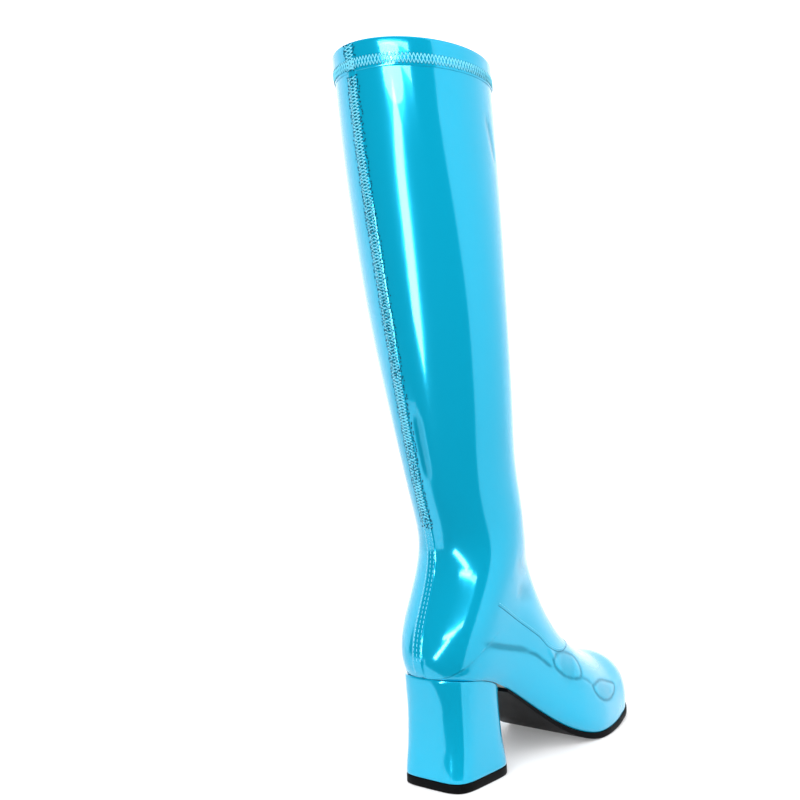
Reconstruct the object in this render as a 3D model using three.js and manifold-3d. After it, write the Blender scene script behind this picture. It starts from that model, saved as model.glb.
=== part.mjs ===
// A knee-high boot with a block heel, for the right foot, standing on its sole.
// Millimetres, +Z up, the toe towards +X, the inner side of the leg and the zip towards +Y.

import * as THREE from 'three';
import { mergeVertices } from 'three/addons/utils/BufferGeometryUtils.js';
import Module from 'manifold-3d';

// Driving dimensions of the foot
const FOOT_LENGTH = 233;
const BALL_WIDTH = 84;
const HEEL_WIDTH = 72;
const INSTEP_HEIGHT = 72;
const SEAT_HEIGHT = 72;
const TOE_SPRING = 7.5;
const TOE_TIP_HEIGHT = 24;

// Driving dimensions of the leg
const BOOT_HEIGHT = 502;
const CALF_DEPTH = 116;
const CALF_WIDTH = 104;

// Walls, plates and gaps
const WALL = 1.8;
const GAP = 0.3;
const INSOLE_THICKNESS = 2.5;
const FOREPART_THICKNESS = 4.8;
const SHANK_THICKNESS = 2.6;
const SOLE_MARGIN = 0.8;
const SOLE_CHAMFER = 0.7;
const FLAT_LENGTH = 12;

// Heel block and its wearing piece
const BREAST_POSITION = 56;
const HEEL_BASE_WIDTH = 54;
const HEEL_SETBACK = 0.2;
const LIFT_THICKNESS = 6.2;

// Turned band at the top edge
const HEM_HEIGHT = 19;
const HEM_THICKNESS = 1.0;
const HEM_EDGE = 0.35;

// Stitched seam down the back, a step in the wall
const SEAM_WIDTH = 8;
const SEAM_RISE = 0.5;
const SEAM_SLOPE = 0.8;

// Zip on the inner side
const ZIP_END_HEIGHT = 61.5;
const SLOT_WIDTH = 10;
const SLOT_REACH = 5;
const TAPE_THICKNESS = 0.8;
const CHAIN_WIDTH = 5.6;
const CHAIN_THICKNESS = 2.0;
const CHAIN_END_SHARE = 0.8;
const SLIDER_LENGTH = 11;
const SLIDER_WIDTH = 8.6;
const SLIDER_PLATE = 1.0;
const SLIDER_DROP = 2.5;
const NECK_LENGTH = 1.6;
const NECK_WIDTH = 2.6;
const BRIDGE_LENGTH = 8;
const BRIDGE_WIDTH = 2.2;
const BRIDGE_BAR = 0.9;
const PULL_LENGTH = 24;
const PULL_WIDTH = 7;
const PULL_THICKNESS = 1.2;
const PULL_SIDE_GAP = 0.6;

// How finely the round forms are faceted
const AROUND = 40;
const STEPS_PER_ROW = 2;
const CAP_STEPS = 6;
const OUTLINE_STEPS = 56;
const HEEL_AROUND = 40;
const HEM_AROUND = 48;
const ZIP_STEP = 16;
const HALVINGS = 36;

// The line of the sole, seen from the side
const SEAT_END = 0.12 * FOOT_LENGTH;
const SEAT_PITCH = 0.15;
const SHANK_PITCH = 0.24;
const BALL_POSITION = 0.712 * FOOT_LENGTH;
const FLAT_START = BALL_POSITION - FLAT_LENGTH / 2;
const FLAT_END = BALL_POSITION + FLAT_LENGTH / 2;
const FOREPART_LEVEL = FOREPART_THICKNESS + GAP;

// Heights and depths that several pieces share
const LEG_HEIGHT = BOOT_HEIGHT - SEAT_HEIGHT;
const LEG_AXIS = 0.115 * FOOT_LENGTH;
const HEEL_HEIGHT = SEAT_HEIGHT - LIFT_THICKNESS - GAP;
const FAR = 400;
const CAP_WIDTH_POWER = 0.70;
const CAP_HEIGHT_POWER = 0.85;

// Foot, from the toe cap back to the heel. Each row is one slanting section: where its ridge and its bottom
// lie, as shares of the foot's length along it and of the instep height above or below the sole line, its
// half widths as shares of the ball width, how far down it is widest, how square it is, its swing, the angle
// where the zip's line crosses it, and how far beside the middle the back seam runs.
const FOOT_COLUMNS = ['ridgeAt', 'ridgeRise', 'bottomAt', 'bottomDrop', 'outer', 'inner', 'widest',
  'topPower', 'bottomPower', 'swing', 'zip', 'seam'];
const FOOT_TABLE = [
  [0.875, 0.640, 0.865, 0.200, 0.450, 0.437, 0.66, 2.30, 3.20, 0.050, 180, 0],
  [0.803, 0.705, 0.781, 0.220, 0.500, 0.477, 0.68, 2.20, 3.20, 0.040, 180, 0],
  [0.715, 0.831, 0.674, 0.180, 0.526, 0.500, 0.68, 2.15, 3.00, 0.017, 180, 0],
  [0.635, 0.990, 0.565, 0.130, 0.503, 0.468, 0.66, 2.10, 2.80, 0.000, 180, 0],
  [0.567, 1.125, 0.446, 0.125, 0.452, 0.410, 0.62, 2.10, 2.70, -0.010, 150, 0],
  [0.514, 1.290, 0.318, 0.120, 0.418, 0.388, 0.58, 2.10, 2.80, -0.012, 115, 0],
  [0.478, 1.510, 0.181, 0.160, 0.408, 0.390, 0.56, 2.10, 2.80, -0.006, 77, 0.01],
];

// Heel and ankle, from the heel's underside up: places as shares of the foot's length, heights as shares of
// the leg's height above the seat, half widths as shares of the heel width.
const LEG_COLUMNS = ['front', 'frontRise', 'back', 'backRise', 'outer', 'inner', 'widest',
  'frontPower', 'backPower', 'lean', 'zip', 'seam'];
const ANKLE_TABLE = [
  [0.466, 0.177, 0.034, -0.014, 0.483, 0.478, 0.56, 2.10, 2.80, 0.000, 60, 0.02],
  [0.458, 0.202, -0.016, 0.046, 0.500, 0.498, 0.56, 2.10, 2.35, 0.000, 54, 0.04],
  [0.442, 0.228, 0.037, 0.111, 0.510, 0.502, 0.52, 2.10, 2.20, 0.000, 58, 0.08],
  [0.408, 0.281, 0.106, 0.192, 0.528, 0.505, 0.50, 2.10, 2.15, 0.014, 70, 0.10],
];

// Shaft, up to the collar: places as shares of the calf depth before or behind the leg's axis, heights as
// shares of the leg's height, half widths as shares of the calf width.
const SHAFT_TABLE = [
  [0.549, 0.355, -0.112, 0.304, 0.385, 0.366, 0.50, 2.05, 2.05, 0.020, 75, 0.07],
  [0.514, 0.459, -0.204, 0.426, 0.444, 0.416, 0.50, 2.00, 2.00, 0.030, 77, 0.07],
  [0.476, 0.590, -0.293, 0.572, 0.490, 0.476, 0.50, 2.00, 2.00, 0.040, 81, 0.07],
  [0.478, 0.720, -0.376, 0.712, 0.503, 0.500, 0.50, 2.00, 2.00, 0.050, 83, 0.07],
  [0.488, 0.840, -0.450, 0.852, 0.496, 0.504, 0.50, 2.00, 2.00, 0.060, 84, 0.07],
  [0.478, 0.968, -0.495, 1.000, 0.490, 0.504, 0.50, 2.00, 2.00, 0.068, 84, 0.07],
];

// Heel block, from the top down: how far down, how far the back and the breast run forward of their places
// at the seat, all as shares of the block's height, the half width and the shift to the inner side as shares
// of the base's width, and how square the back and the front are.
const HEEL_COLUMNS = ['drop', 'back', 'front', 'half', 'shift', 'backPower', 'frontPower'];
const HEEL_TABLE = [
  [-0.12, 0.000, 0.000, 0.525, 0.000, 2.8, 4.0],
  [0.00, 0.000, 0.000, 0.520, 0.000, 2.9, 4.0],
  [0.33, 0.030, 0.000, 0.504, -0.004, 3.4, 4.2],
  [0.67, 0.030, 0.020, 0.506, -0.010, 4.0, 4.4],
  [1.00, -0.004, 0.075, 0.511, -0.016, 4.7, 4.7],
];

// Section columns in the order that the sections hold them
const FRONT_X = 0;
const FRONT_Z = 1;
const BACK_X = 2;
const BACK_Z = 3;
const OUTER = 4;
const INNER = 5;
const WIDEST = 6;
const FRONT_POWER = 7;
const BACK_POWER = 8;
const SWING = 9;
const ZIP = 10;
const SEAM = 11;

const wasm = await Module();
wasm.setup();

// A row of a table as an object with named values.
function named(columns, row) {
  return Object.fromEntries(columns.map((column, k) => [column, row[k]]));
}

// Height of the sole line, where upper and insole meet the heel and the outsole.
function soleLine(x) {
  if (x <= SEAT_END) {
    return SEAT_HEIGHT + SEAT_PITCH * (SEAT_END - x);
  }
  if (x < FLAT_START) {
    const span = FLAT_START - SEAT_END;
    const u = (x - SEAT_END) / span;
    const start = 2 * u ** 3 - 3 * u ** 2 + 1;
    const slope = u ** 3 - 2 * u ** 2 + u;
    return start * SEAT_HEIGHT - slope * span * SHANK_PITCH + (1 - start) * FOREPART_LEVEL;
  }
  const beyond = Math.max(0, x - FLAT_END) / (FOOT_LENGTH - FLAT_END);
  return FOREPART_LEVEL + TOE_SPRING * beyond ** 2;
}

// A row of the foot's table as a section in millimetres.
function footSection(row) {
  const r = named(FOOT_COLUMNS, row);
  const ridgeX = r.ridgeAt * FOOT_LENGTH;
  const bottomX = r.bottomAt * FOOT_LENGTH;
  return [
    ridgeX,
    soleLine(ridgeX) + r.ridgeRise * INSTEP_HEIGHT,
    bottomX,
    soleLine(bottomX) - r.bottomDrop * INSTEP_HEIGHT,
    r.outer * BALL_WIDTH,
    r.inner * BALL_WIDTH,
    r.widest,
    r.topPower,
    r.bottomPower,
    r.swing * BALL_WIDTH,
    r.zip,
    r.seam * BALL_WIDTH,
  ];
}

// A row of the ankle's or the shaft's table as a section in millimetres.
function legSection(row, axis, depth, width) {
  const r = named(LEG_COLUMNS, row);
  return [
    axis + r.front * depth,
    SEAT_HEIGHT + r.frontRise * LEG_HEIGHT,
    axis + r.back * depth,
    SEAT_HEIGHT + r.backRise * LEG_HEIGHT,
    r.outer * width,
    r.inner * width,
    r.widest,
    r.frontPower,
    r.backPower,
    r.lean * width,
    r.zip,
    r.seam * width,
  ];
}

const ROWS = [
  ...FOOT_TABLE.map((row) => footSection(row)),
  ...ANKLE_TABLE.map((row) => legSection(row, 0, FOOT_LENGTH, HEEL_WIDTH)),
  ...SHAFT_TABLE.map((row) => legSection(row, LEG_AXIS, CALF_DEPTH, CALF_WIDTH)),
];
const LAST_ROW = ROWS.length - 1;
const TOP_SPACING = Math.hypot(
  ROWS[LAST_ROW][BACK_X] - ROWS[LAST_ROW - 1][BACK_X],
  ROWS[LAST_ROW][BACK_Z] - ROWS[LAST_ROW - 1][BACK_Z],
);

// One value between two rows, on a smooth curve through four.
function smooth(a, b, c, d, f) {
  return 0.5 * (2 * b + (c - a) * f + (2 * a - 5 * b + 4 * c - d) * f ** 2 + (3 * b - a - 3 * c + d) * f ** 3);
}

// The section at a place between the rows: 0 is the toe cap's base and LAST_ROW the collar. Below 0 it runs
// round the toe cap to its tip at -1, and past the collar it goes straight on.
function section(place) {
  if (place < 0) {
    return capSection(ROWS[0], -place);
  }
  if (place >= LAST_ROW) {
    const top = ROWS[LAST_ROW];
    const below = ROWS[LAST_ROW - 1];
    return top.map((value, k) => value + (value - below[k]) * (place - LAST_ROW));
  }
  const i = Math.floor(place);
  const before = ROWS[Math.max(i - 1, 0)];
  const next = ROWS[i + 1];
  const after = ROWS[Math.min(i + 2, LAST_ROW)];
  return ROWS[i].map((value, k) => {
    const a = i > 0 ? before[k] : 2 * value - next[k];
    const d = i + 2 <= LAST_ROW ? after[k] : 2 * next[k] - value;
    return smooth(a, value, next[k], d, place - i);
  });
}

// The rounded toe cap: the base section carries on at its own slope and shrinks to a point at the tip.
function capSection(base, share) {
  const turn = share * Math.PI / 2;
  const widthShare = Math.max(0, Math.cos(turn)) ** CAP_WIDTH_POWER;
  const heightShare = Math.max(0, Math.cos(turn)) ** CAP_HEIGHT_POWER;
  const forward = (FOOT_LENGTH - base[FRONT_X]) * Math.sin(turn);
  const places = forward / (base[FRONT_X] - ROWS[1][FRONT_X]);
  const carried = (k) => base[k] + (base[k] - ROWS[1][k]) * places;
  const cap = [...base];
  for (const k of [FRONT_X, BACK_X]) {
    cap[k] = base[k] + (FOOT_LENGTH - base[k]) * Math.sin(turn);
  }
  for (const k of [FRONT_Z, BACK_Z]) {
    cap[k] = TOE_TIP_HEIGHT + (carried(k) - TOE_TIP_HEIGHT) * heightShare;
  }
  for (const k of [OUTER, INNER]) {
    cap[k] = carried(k) * widthShare;
  }
  return cap;
}

// A section drawn in by a depth on every side, or let out by a negative one.
function inset(s, depth) {
  const length = Math.hypot(s[BACK_X] - s[FRONT_X], s[BACK_Z] - s[FRONT_Z]);
  const drawn = [...s];
  if (length < 1e-6) {
    drawn[FRONT_X] -= depth;
    drawn[BACK_X] -= depth;
    return drawn;
  }
  const keep = Math.min(1, 0.5 * length / Math.max(depth, 1e-6));
  const dx = keep * depth * (s[BACK_X] - s[FRONT_X]) / length;
  const dz = keep * depth * (s[BACK_Z] - s[FRONT_Z]) / length;
  drawn[FRONT_X] += dx;
  drawn[FRONT_Z] += dz;
  drawn[BACK_X] -= dx;
  drawn[BACK_Z] -= dz;
  drawn[OUTER] = Math.max(0, s[OUTER] - depth);
  drawn[INNER] = Math.max(0, s[INNER] - depth);
  return drawn;
}

// A point of a section: angle 0 is its front or ridge, 90 degrees the inner side, 180 its back or bottom.
function sectionPoint(s, angle) {
  const c = Math.cos(angle);
  const n = Math.sin(angle);
  const power = c >= 0 ? s[FRONT_POWER] : s[BACK_POWER];
  const along = Math.abs(c) ** (2 / power);
  const across = Math.sign(n) * Math.abs(n) ** (2 / power);
  const q = c >= 0 ? s[WIDEST] * (1 - along) : s[WIDEST] + (1 - s[WIDEST]) * along;
  const half = n >= 0 ? s[INNER] : s[OUTER];
  return new THREE.Vector3(
    s[FRONT_X] + (s[BACK_X] - s[FRONT_X]) * q,
    half * across + s[SWING],
    s[FRONT_Z] + (s[BACK_Z] - s[FRONT_Z]) * q,
  );
}

// A point of the boot's outer skin, let out or drawn in by a depth.
function skinPoint(place, angle, depth = 0) {
  return sectionPoint(inset(section(place), depth), angle);
}

// The angle on the back of a section whose point lies a stated distance beside the middle of the back.
function backAngle(s, beside) {
  const half = beside >= 0 ? s[INNER] : s[OUTER];
  const sine = Math.min(1, Math.abs(beside) / Math.max(half, 1e-6)) ** (s[BACK_POWER] / 2);
  return Math.PI - Math.sign(beside) * Math.asin(sine);
}

// A closed solid from rings of equal length, capped where an end ring isn't a point.
function solidFromRings(rings) {
  const count = rings[0].length;
  const positions = rings.flat().flatMap((p) => [p.x, p.y, p.z]);
  const indices = [];
  for (let i = 0; i + 1 < rings.length; i += 1) {
    for (let k = 0; k < count; k += 1) {
      const a = i * count + k;
      const b = i * count + (k + 1) % count;
      indices.push(a, b, b + count, a, b + count, a + count);
    }
  }
  for (const [i, flip] of [[0, true], [rings.length - 1, false]]) {
    const middle = positions.length / 3;
    const centre = rings[i].reduce((sum, p) => sum.add(p), new THREE.Vector3()).divideScalar(count);
    positions.push(centre.x, centre.y, centre.z);
    for (let k = 0; k < count; k += 1) {
      const a = i * count + k;
      const b = i * count + (k + 1) % count;
      indices.push(middle, flip ? b : a, flip ? a : b);
    }
  }
  const geometry = new THREE.BufferGeometry();
  geometry.setAttribute('position', new THREE.Float32BufferAttribute(positions, 3));
  geometry.setIndex(indices);
  return toManifold(geometry);
}

// A manifold solid from a geometry, facing out.
function toManifold(geometry) {
  const bare = geometry.clone();
  bare.deleteAttribute('normal');
  bare.deleteAttribute('uv');
  const merged = mergeVertices(bare, 1e-4);
  const index = merged.index.array;
  const kept = [];
  for (let k = 0; k < index.length; k += 3) {
    const [a, b, c] = [index[k], index[k + 1], index[k + 2]];
    if (a !== b && b !== c && c !== a) {
      kept.push(a, b, c);
    }
  }
  const points = merged.attributes.position.array;
  if (signedVolume(points, kept) < 0) {
    kept.reverse();
  }
  return new wasm.Manifold(new wasm.Mesh({
    numProp: 3,
    vertProperties: new Float32Array(points),
    triVerts: new Uint32Array(kept),
  }));
}

// Six times the volume that triangles enclose, positive where they face out.
function signedVolume(points, triangles) {
  const at = (k) => new THREE.Vector3(points[3 * k], points[3 * k + 1], points[3 * k + 2]);
  let sum = 0;
  for (let k = 0; k < triangles.length; k += 3) {
    sum += at(triangles[k]).dot(at(triangles[k + 1]).cross(at(triangles[k + 2])));
  }
  return sum;
}

// A named mesh from a manifold solid.
function meshFrom(name, solid, material) {
  const mesh = solid.getMesh();
  const geometry = new THREE.BufferGeometry();
  geometry.setAttribute('position', new THREE.Float32BufferAttribute(mesh.vertProperties, 3));
  geometry.setIndex(new THREE.BufferAttribute(new Uint32Array(mesh.triVerts), 1));
  geometry.computeVertexNormals();
  const node = new THREE.Mesh(geometry, material);
  node.name = name;
  return node;
}

// A box between two corners, as a manifold solid.
function boxBetween(low, high) {
  const size = high.clone().sub(low);
  const box = new THREE.BoxGeometry(size.x, size.y, size.z);
  box.translate(low.x + size.x / 2, low.y + size.y / 2, low.z + size.z / 2);
  return toManifold(box);
}

// The full-width block between two lines seen from the side, such as all that lies below the sole line.
function blockBetween(bottomLine, topLine) {
  const steps = 48;
  const start = -0.4 * FOOT_LENGTH;
  const end = 1.3 * FOOT_LENGTH;
  const half = 2 * BALL_WIDTH;
  const rings = [];
  for (let k = 0; k <= steps; k += 1) {
    const x = start + (end - start) * k / steps;
    rings.push([
      new THREE.Vector3(x, -half, bottomLine(x)),
      new THREE.Vector3(x, half, bottomLine(x)),
      new THREE.Vector3(x, half, topLine(x)),
      new THREE.Vector3(x, -half, topLine(x)),
    ]);
  }
  return solidFromRings(rings);
}

// The places of the rings from the toe's tip to the top, with two more where the back seam ends.
function ringPlaces(topPlace, seam) {
  const places = [];
  for (let k = CAP_STEPS; k > 0; k -= 1) {
    places.push(-k / CAP_STEPS);
  }
  for (let k = 0; k < LAST_ROW * STEPS_PER_ROW; k += 1) {
    places.push(k / STEPS_PER_ROW);
  }
  if (seam) {
    places.push(SEAM_TOP, SEAM_TOP + SEAM_SLOPE / TOP_SPACING);
  }
  places.push(topPlace);
  return places.sort((a, b) => a - b);
}

// The angles of a ring's points: the back seam's own, and the rest evenly from its one side to its other.
function ringAngles(s, place) {
  const seam = seamAngles(s, place);
  const start = seam[seam.length - 1];
  const span = 2 * Math.PI + seam[0] - start;
  const count = AROUND - seam.length;
  const angles = [...seam];
  for (let k = 1; k <= count; k += 1) {
    angles.push(start + span * k / (count + 1));
  }
  return angles;
}

// The angles of the seam's outer edges, inner edges and middle; under the foot they are only close together.
function seamAngles(s, place) {
  const reach = SEAM_WIDTH / 2 + SEAM_SLOPE;
  const flat = SEAM_WIDTH / 2 / reach;
  const edges = [1, flat, 0, -flat, -1];
  if (place < SEAM_START) {
    return edges.map((edge) => Math.PI * (1 - edge / AROUND));
  }
  return edges.map((edge) => backAngle(s, s[SEAM] + edge * reach));
}

const SEAM_START = FOOT_TABLE.length - 1;
const HEM_TOP = LAST_ROW;
const HEM_BOTTOM = HEM_TOP - HEM_HEIGHT / TOP_SPACING;
const SEAM_TOP = HEM_BOTTOM - (GAP + SEAM_SLOPE) / TOP_SPACING;
const UPPER_TOP = HEM_TOP - (HEM_THICKNESS + GAP) / TOP_SPACING;
const INSIDE_TOP = HEM_TOP + HEM_HEIGHT / TOP_SPACING;

// The body of the last, drawn in by a depth, with the back seam's step where asked.
function lastBody(depth, topPlace, seam) {
  const half = SEAM_WIDTH / 2 + SEAM_SLOPE / 2;
  const rings = ringPlaces(topPlace, seam).map((place) => {
    const s = inset(section(place), depth);
    const raised = inset(section(place), depth - SEAM_RISE);
    const back = seam && place >= SEAM_START && place <= SEAM_TOP;
    return ringAngles(s, place).map((angle) => {
      const p = sectionPoint(s, angle);
      const beside = p.y - s[SWING];
      const onSeam = back && Math.cos(angle) < 0 && Math.abs(beside - s[SEAM]) < half;
      return onSeam ? sectionPoint(raised, backAngle(raised, beside)) : p;
    });
  });
  return solidFromRings(rings);
}

// A point of the zip's line on the skin.
function zipPoint(place) {
  return skinPoint(place, zipAngle(place));
}

// The angle where the zip's line crosses the section at a place.
function zipAngle(place) {
  return THREE.MathUtils.degToRad(section(Math.min(place, LAST_ROW))[ZIP]);
}

// The place on the zip's line at a height, found by halving.
function zipPlace(height) {
  let low = FOOT_TABLE.length - 3;
  let high = LAST_ROW + 1;
  for (let k = 0; k < HALVINGS; k += 1) {
    const middle = (low + high) / 2;
    if (zipPoint(middle).z < height) {
      low = middle;
    } else {
      high = middle;
    }
  }
  return (low + high) / 2;
}

// The zip's own axes at a height: where it lies on the skin, along it, across it and out of the wall.
function zipFrame(height) {
  const place = zipPlace(height);
  const angle = zipAngle(place);
  const nudge = 0.02;
  const point = zipPoint(place);
  const up = zipPoint(place + nudge).sub(zipPoint(place - nudge)).normalize();
  const side = skinPoint(place, angle + nudge).sub(skinPoint(place, angle - nudge));
  const out = up.clone().cross(side).normalize();
  if (out.y < 0) {
    out.negate();
  }
  const across = up.clone().cross(out).normalize();
  return { point, up, across, out };
}

// A bar that follows the zip's line between two heights, its section given across and out of the wall.
function zipBar(heights, sectionAt) {
  const rings = heights.map((height) => {
    const frame = zipFrame(height);
    return sectionAt(height).map(([across, out]) => frame.point.clone()
      .addScaledVector(frame.across, across)
      .addScaledVector(frame.out, out));
  });
  return solidFromRings(rings);
}

// Heights from a low one to a high one: closer together at the round lower end, then the same for all strips.
function zipHeights(low, high) {
  const heights = [0, 0.04, 0.2, 0.5].map((share) => low + share * SLOT_WIDTH / 2);
  const start = ZIP_END_HEIGHT + SLOT_WIDTH / 2;
  for (let height = start; height < high - 1; height += ZIP_STEP) {
    heights.push(height);
  }
  heights.push(high);
  return heights;
}

// Half the width of a strip with a round lower end.
function roundEnd(height, low, half) {
  const narrowest = 0.05;
  const rise = Math.min(half, Math.max(0, height - low));
  return Math.max(narrowest, Math.sqrt(half ** 2 - (half - rise) ** 2));
}

const ZIP_TOP_HEIGHT = zipPoint(HEM_TOP).z;
const SLIDER_TOP = ZIP_TOP_HEIGHT - SLIDER_DROP;
const CHAIN_TOP = SLIDER_TOP - NECK_LENGTH - GAP;
const SLIDER_MIDDLE = SLIDER_TOP - SLIDER_LENGTH / 2;

// The hollow upper: the last's body less its inside, open underneath, at the collar and along the zip.
function makeUpper() {
  const outside = lastBody(0, UPPER_TOP, true);
  const inside = lastBody(WALL, INSIDE_TOP, false);
  const below = blockBetween(() => -FAR, soleLine);
  const half = SLOT_WIDTH / 2;
  const slot = zipBar(zipHeights(ZIP_END_HEIGHT, BOOT_HEIGHT + HEM_HEIGHT), (height) => {
    const w = roundEnd(height, ZIP_END_HEIGHT, half);
    return [[-w, -SLOT_REACH], [w, -SLOT_REACH], [w, SLOT_REACH], [-w, SLOT_REACH]];
  });
  return outside.subtract(inside).subtract(below).subtract(slot);
}

// The sock board inside the foot.
function makeInsole() {
  const inside = lastBody(WALL + GAP, INSIDE_TOP, false);
  return inside.intersect(blockBetween(soleLine, (x) => soleLine(x) + INSOLE_THICKNESS));
}

// Half widths of the feather line, where the skin meets the sole line, at a place along the foot.
function featherAt(place) {
  const s = section(place);
  const above = (share) => {
    const x = s[FRONT_X] + (s[BACK_X] - s[FRONT_X]) * share;
    const z = s[FRONT_Z] + (s[BACK_Z] - s[FRONT_Z]) * share;
    return z > soleLine(x);
  };
  let low = 0;
  let high = 1;
  for (let k = 0; k < HALVINGS; k += 1) {
    const middle = (low + high) / 2;
    if (above(middle)) {
      low = middle;
    } else {
      high = middle;
    }
  }
  const beyond = (low - s[WIDEST]) / (1 - s[WIDEST]);
  const power = beyond > 0 ? s[BACK_POWER] : s[FRONT_POWER];
  const along = beyond > 0 ? beyond : 1 - low / s[WIDEST];
  const across = Math.max(0, 1 - along ** power) ** (1 / power);
  return {
    x: s[FRONT_X] + (s[BACK_X] - s[FRONT_X]) * low,
    outer: s[SWING] - s[OUTER] * across,
    inner: s[SWING] + s[INNER] * across,
  };
}

// The last place, from a low to a high one, where the section's bottom is still below the sole line.
function featherEnd(from, to) {
  let inside = from;
  let outside = to;
  for (let k = 0; k < HALVINGS; k += 1) {
    const middle = (inside + outside) / 2;
    const s = section(middle);
    if (s[BACK_Z] < soleLine(s[BACK_X])) {
      inside = middle;
    } else {
      outside = middle;
    }
  }
  return inside;
}

// The feather line from the toe to the heel, closer together at both ends.
function featherLine() {
  const toe = featherEnd(0, -1);
  const heel = featherEnd(FOOT_TABLE.length - 1, FOOT_TABLE.length + 3);
  const line = [];
  for (let k = 0; k <= OUTLINE_STEPS; k += 1) {
    const share = (1 - Math.cos(Math.PI * k / OUTLINE_STEPS)) / 2;
    line.push(featherAt(toe + (heel - toe) * share));
  }
  return line;
}

// Thickness of the outsole along the foot: full under the forepart, thin in the arch.
function outsoleThickness(x) {
  const share = THREE.MathUtils.smoothstep(x, BREAST_POSITION, FLAT_START);
  return SHANK_THICKNESS + (FOREPART_THICKNESS - SHANK_THICKNESS) * share;
}

// The outsole: the feather line let out a little, cut off at the heel's breast.
function makeOutsole() {
  const line = featherLine();
  const first = line[0].x;
  const last = line[line.length - 1].x;
  const middle = (first + last) / 2;
  const stretch = (x) => middle + (x - middle) * (1 + 2 * SOLE_MARGIN / (first - last));
  const rings = line.map((p) => {
    const x = stretch(p.x);
    const top = soleLine(x) - GAP;
    const bottom = top - outsoleThickness(x);
    const outer = p.outer - SOLE_MARGIN;
    const inner = p.inner + SOLE_MARGIN;
    const centre = (outer + inner) / 2;
    const chamfer = Math.min(SOLE_CHAMFER, (inner - outer) / 4);
    return [
      [outer, top],
      [centre, top],
      [inner, top],
      [inner, bottom + chamfer],
      [inner - chamfer, bottom],
      [centre, bottom],
      [outer + chamfer, bottom],
      [outer, bottom + chamfer],
    ].map(([y, z]) => new THREE.Vector3(x, y, z));
  });
  const front = boxBetween(
    new THREE.Vector3(BREAST_POSITION + GAP, -FAR, -FAR),
    new THREE.Vector3(2 * FOOT_LENGTH, FAR, FAR),
  );
  return solidFromRings(rings).intersect(front);
}

// An outline of the heel at a height, with its own squareness at the back and at the front.
function heelRing(row, z) {
  const r = named(HEEL_COLUMNS, row);
  const back = HEEL_SETBACK + r.back * HEEL_HEIGHT;
  const front = BREAST_POSITION + r.front * HEEL_HEIGHT;
  const middle = (back + front) / 2;
  const ring = [];
  for (let k = 0; k < HEEL_AROUND; k += 1) {
    const angle = 2 * Math.PI * k / HEEL_AROUND;
    const c = Math.cos(angle);
    const n = Math.sin(angle);
    const power = c >= 0 ? r.frontPower : r.backPower;
    ring.push(new THREE.Vector3(
      middle + (front - middle) * Math.sign(c) * Math.abs(c) ** (2 / power),
      HEEL_BASE_WIDTH * (r.shift + r.half * Math.sign(n) * Math.abs(n) ** (2 / power)),
      z,
    ));
  }
  return ring;
}

// The rows of the heel's table on a smooth curve, with steps between them.
function heelRows() {
  const rows = [];
  const steps = 2;
  for (let i = 0; i + 1 < HEEL_TABLE.length; i += 1) {
    const before = HEEL_TABLE[Math.max(i - 1, 0)];
    const after = HEEL_TABLE[Math.min(i + 2, HEEL_TABLE.length - 1)];
    for (let k = 0; k < steps; k += 1) {
      const next = HEEL_TABLE[i + 1];
      rows.push(HEEL_TABLE[i].map((value, c) => smooth(before[c], value, next[c], after[c], k / steps)));
    }
  }
  rows.push(HEEL_TABLE[HEEL_TABLE.length - 1]);
  return rows;
}

// The block heel, cut to the seat at its top.
function makeHeel() {
  const rings = heelRows().map((row) => heelRing(row, SEAT_HEIGHT - row[0] * HEEL_HEIGHT));
  return solidFromRings(rings).intersect(blockBetween(() => -FAR, (x) => soleLine(x) - GAP));
}

// The wearing piece under the heel, on the floor.
function makeTopLift() {
  const foot = HEEL_TABLE[HEEL_TABLE.length - 1];
  return solidFromRings([heelRing(foot, 0), heelRing(foot, LIFT_THICKNESS)]);
}

// The band turned over the top edge, from one side of the zip all the way round to the other.
function makeHem() {
  const outer = GAP + HEM_THICKNESS;
  const inner = -WALL - GAP - HEM_THICKNESS;
  const edge = HEM_EDGE / TOP_SPACING;
  const lip = UPPER_TOP + GAP / TOP_SPACING;
  const profile = [
    [HEM_BOTTOM, GAP],
    [HEM_BOTTOM, outer],
    [HEM_TOP - edge, outer],
    [HEM_TOP, outer - HEM_EDGE],
    [HEM_TOP, inner + HEM_EDGE],
    [HEM_TOP - edge, inner],
    [HEM_BOTTOM, inner],
    [HEM_BOTTOM, -WALL - GAP],
    [lip, -WALL - GAP],
    [lip, GAP],
  ];
  const zip = zipAngle(HEM_TOP);
  const top = section(HEM_TOP);
  const round = (top[INNER] + (top[FRONT_X] - top[BACK_X]) / 2) / 2;
  const half = SLOT_WIDTH / 2 / round;
  const rings = [];
  for (let k = 0; k <= HEM_AROUND; k += 1) {
    const angle = (zip + half + (2 * Math.PI - 2 * half) * k / HEM_AROUND) % (2 * Math.PI);
    rings.push(profile.map(([place, out]) => skinPoint(place, angle, -out)));
  }
  return solidFromRings(rings);
}

// Tape and closed chain in one, in the slot.
function makeZipChain() {
  const low = ZIP_END_HEIGHT + GAP;
  const tapeBack = -WALL;
  const tapeFace = tapeBack + TAPE_THICKNESS;
  const chainBack = -WALL / 2 - CHAIN_THICKNESS / 2;
  const chainFace = chainBack + CHAIN_THICKNESS;
  return zipBar(zipHeights(low, CHAIN_TOP), (height) => {
    const tape = roundEnd(height, low, SLOT_WIDTH / 2 - GAP);
    const chain = Math.min(CHAIN_WIDTH / 2, CHAIN_END_SHARE * tape);
    return [
      [-tape, tapeBack],
      [-chain, tapeBack],
      [-chain, chainBack],
      [chain, chainBack],
      [chain, tapeBack],
      [tape, tapeBack],
      [tape, tapeFace],
      [chain, tapeFace],
      [chain, chainFace],
      [-chain, chainFace],
      [-chain, tapeFace],
      [-tape, tapeFace],
    ];
  });
}

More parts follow.
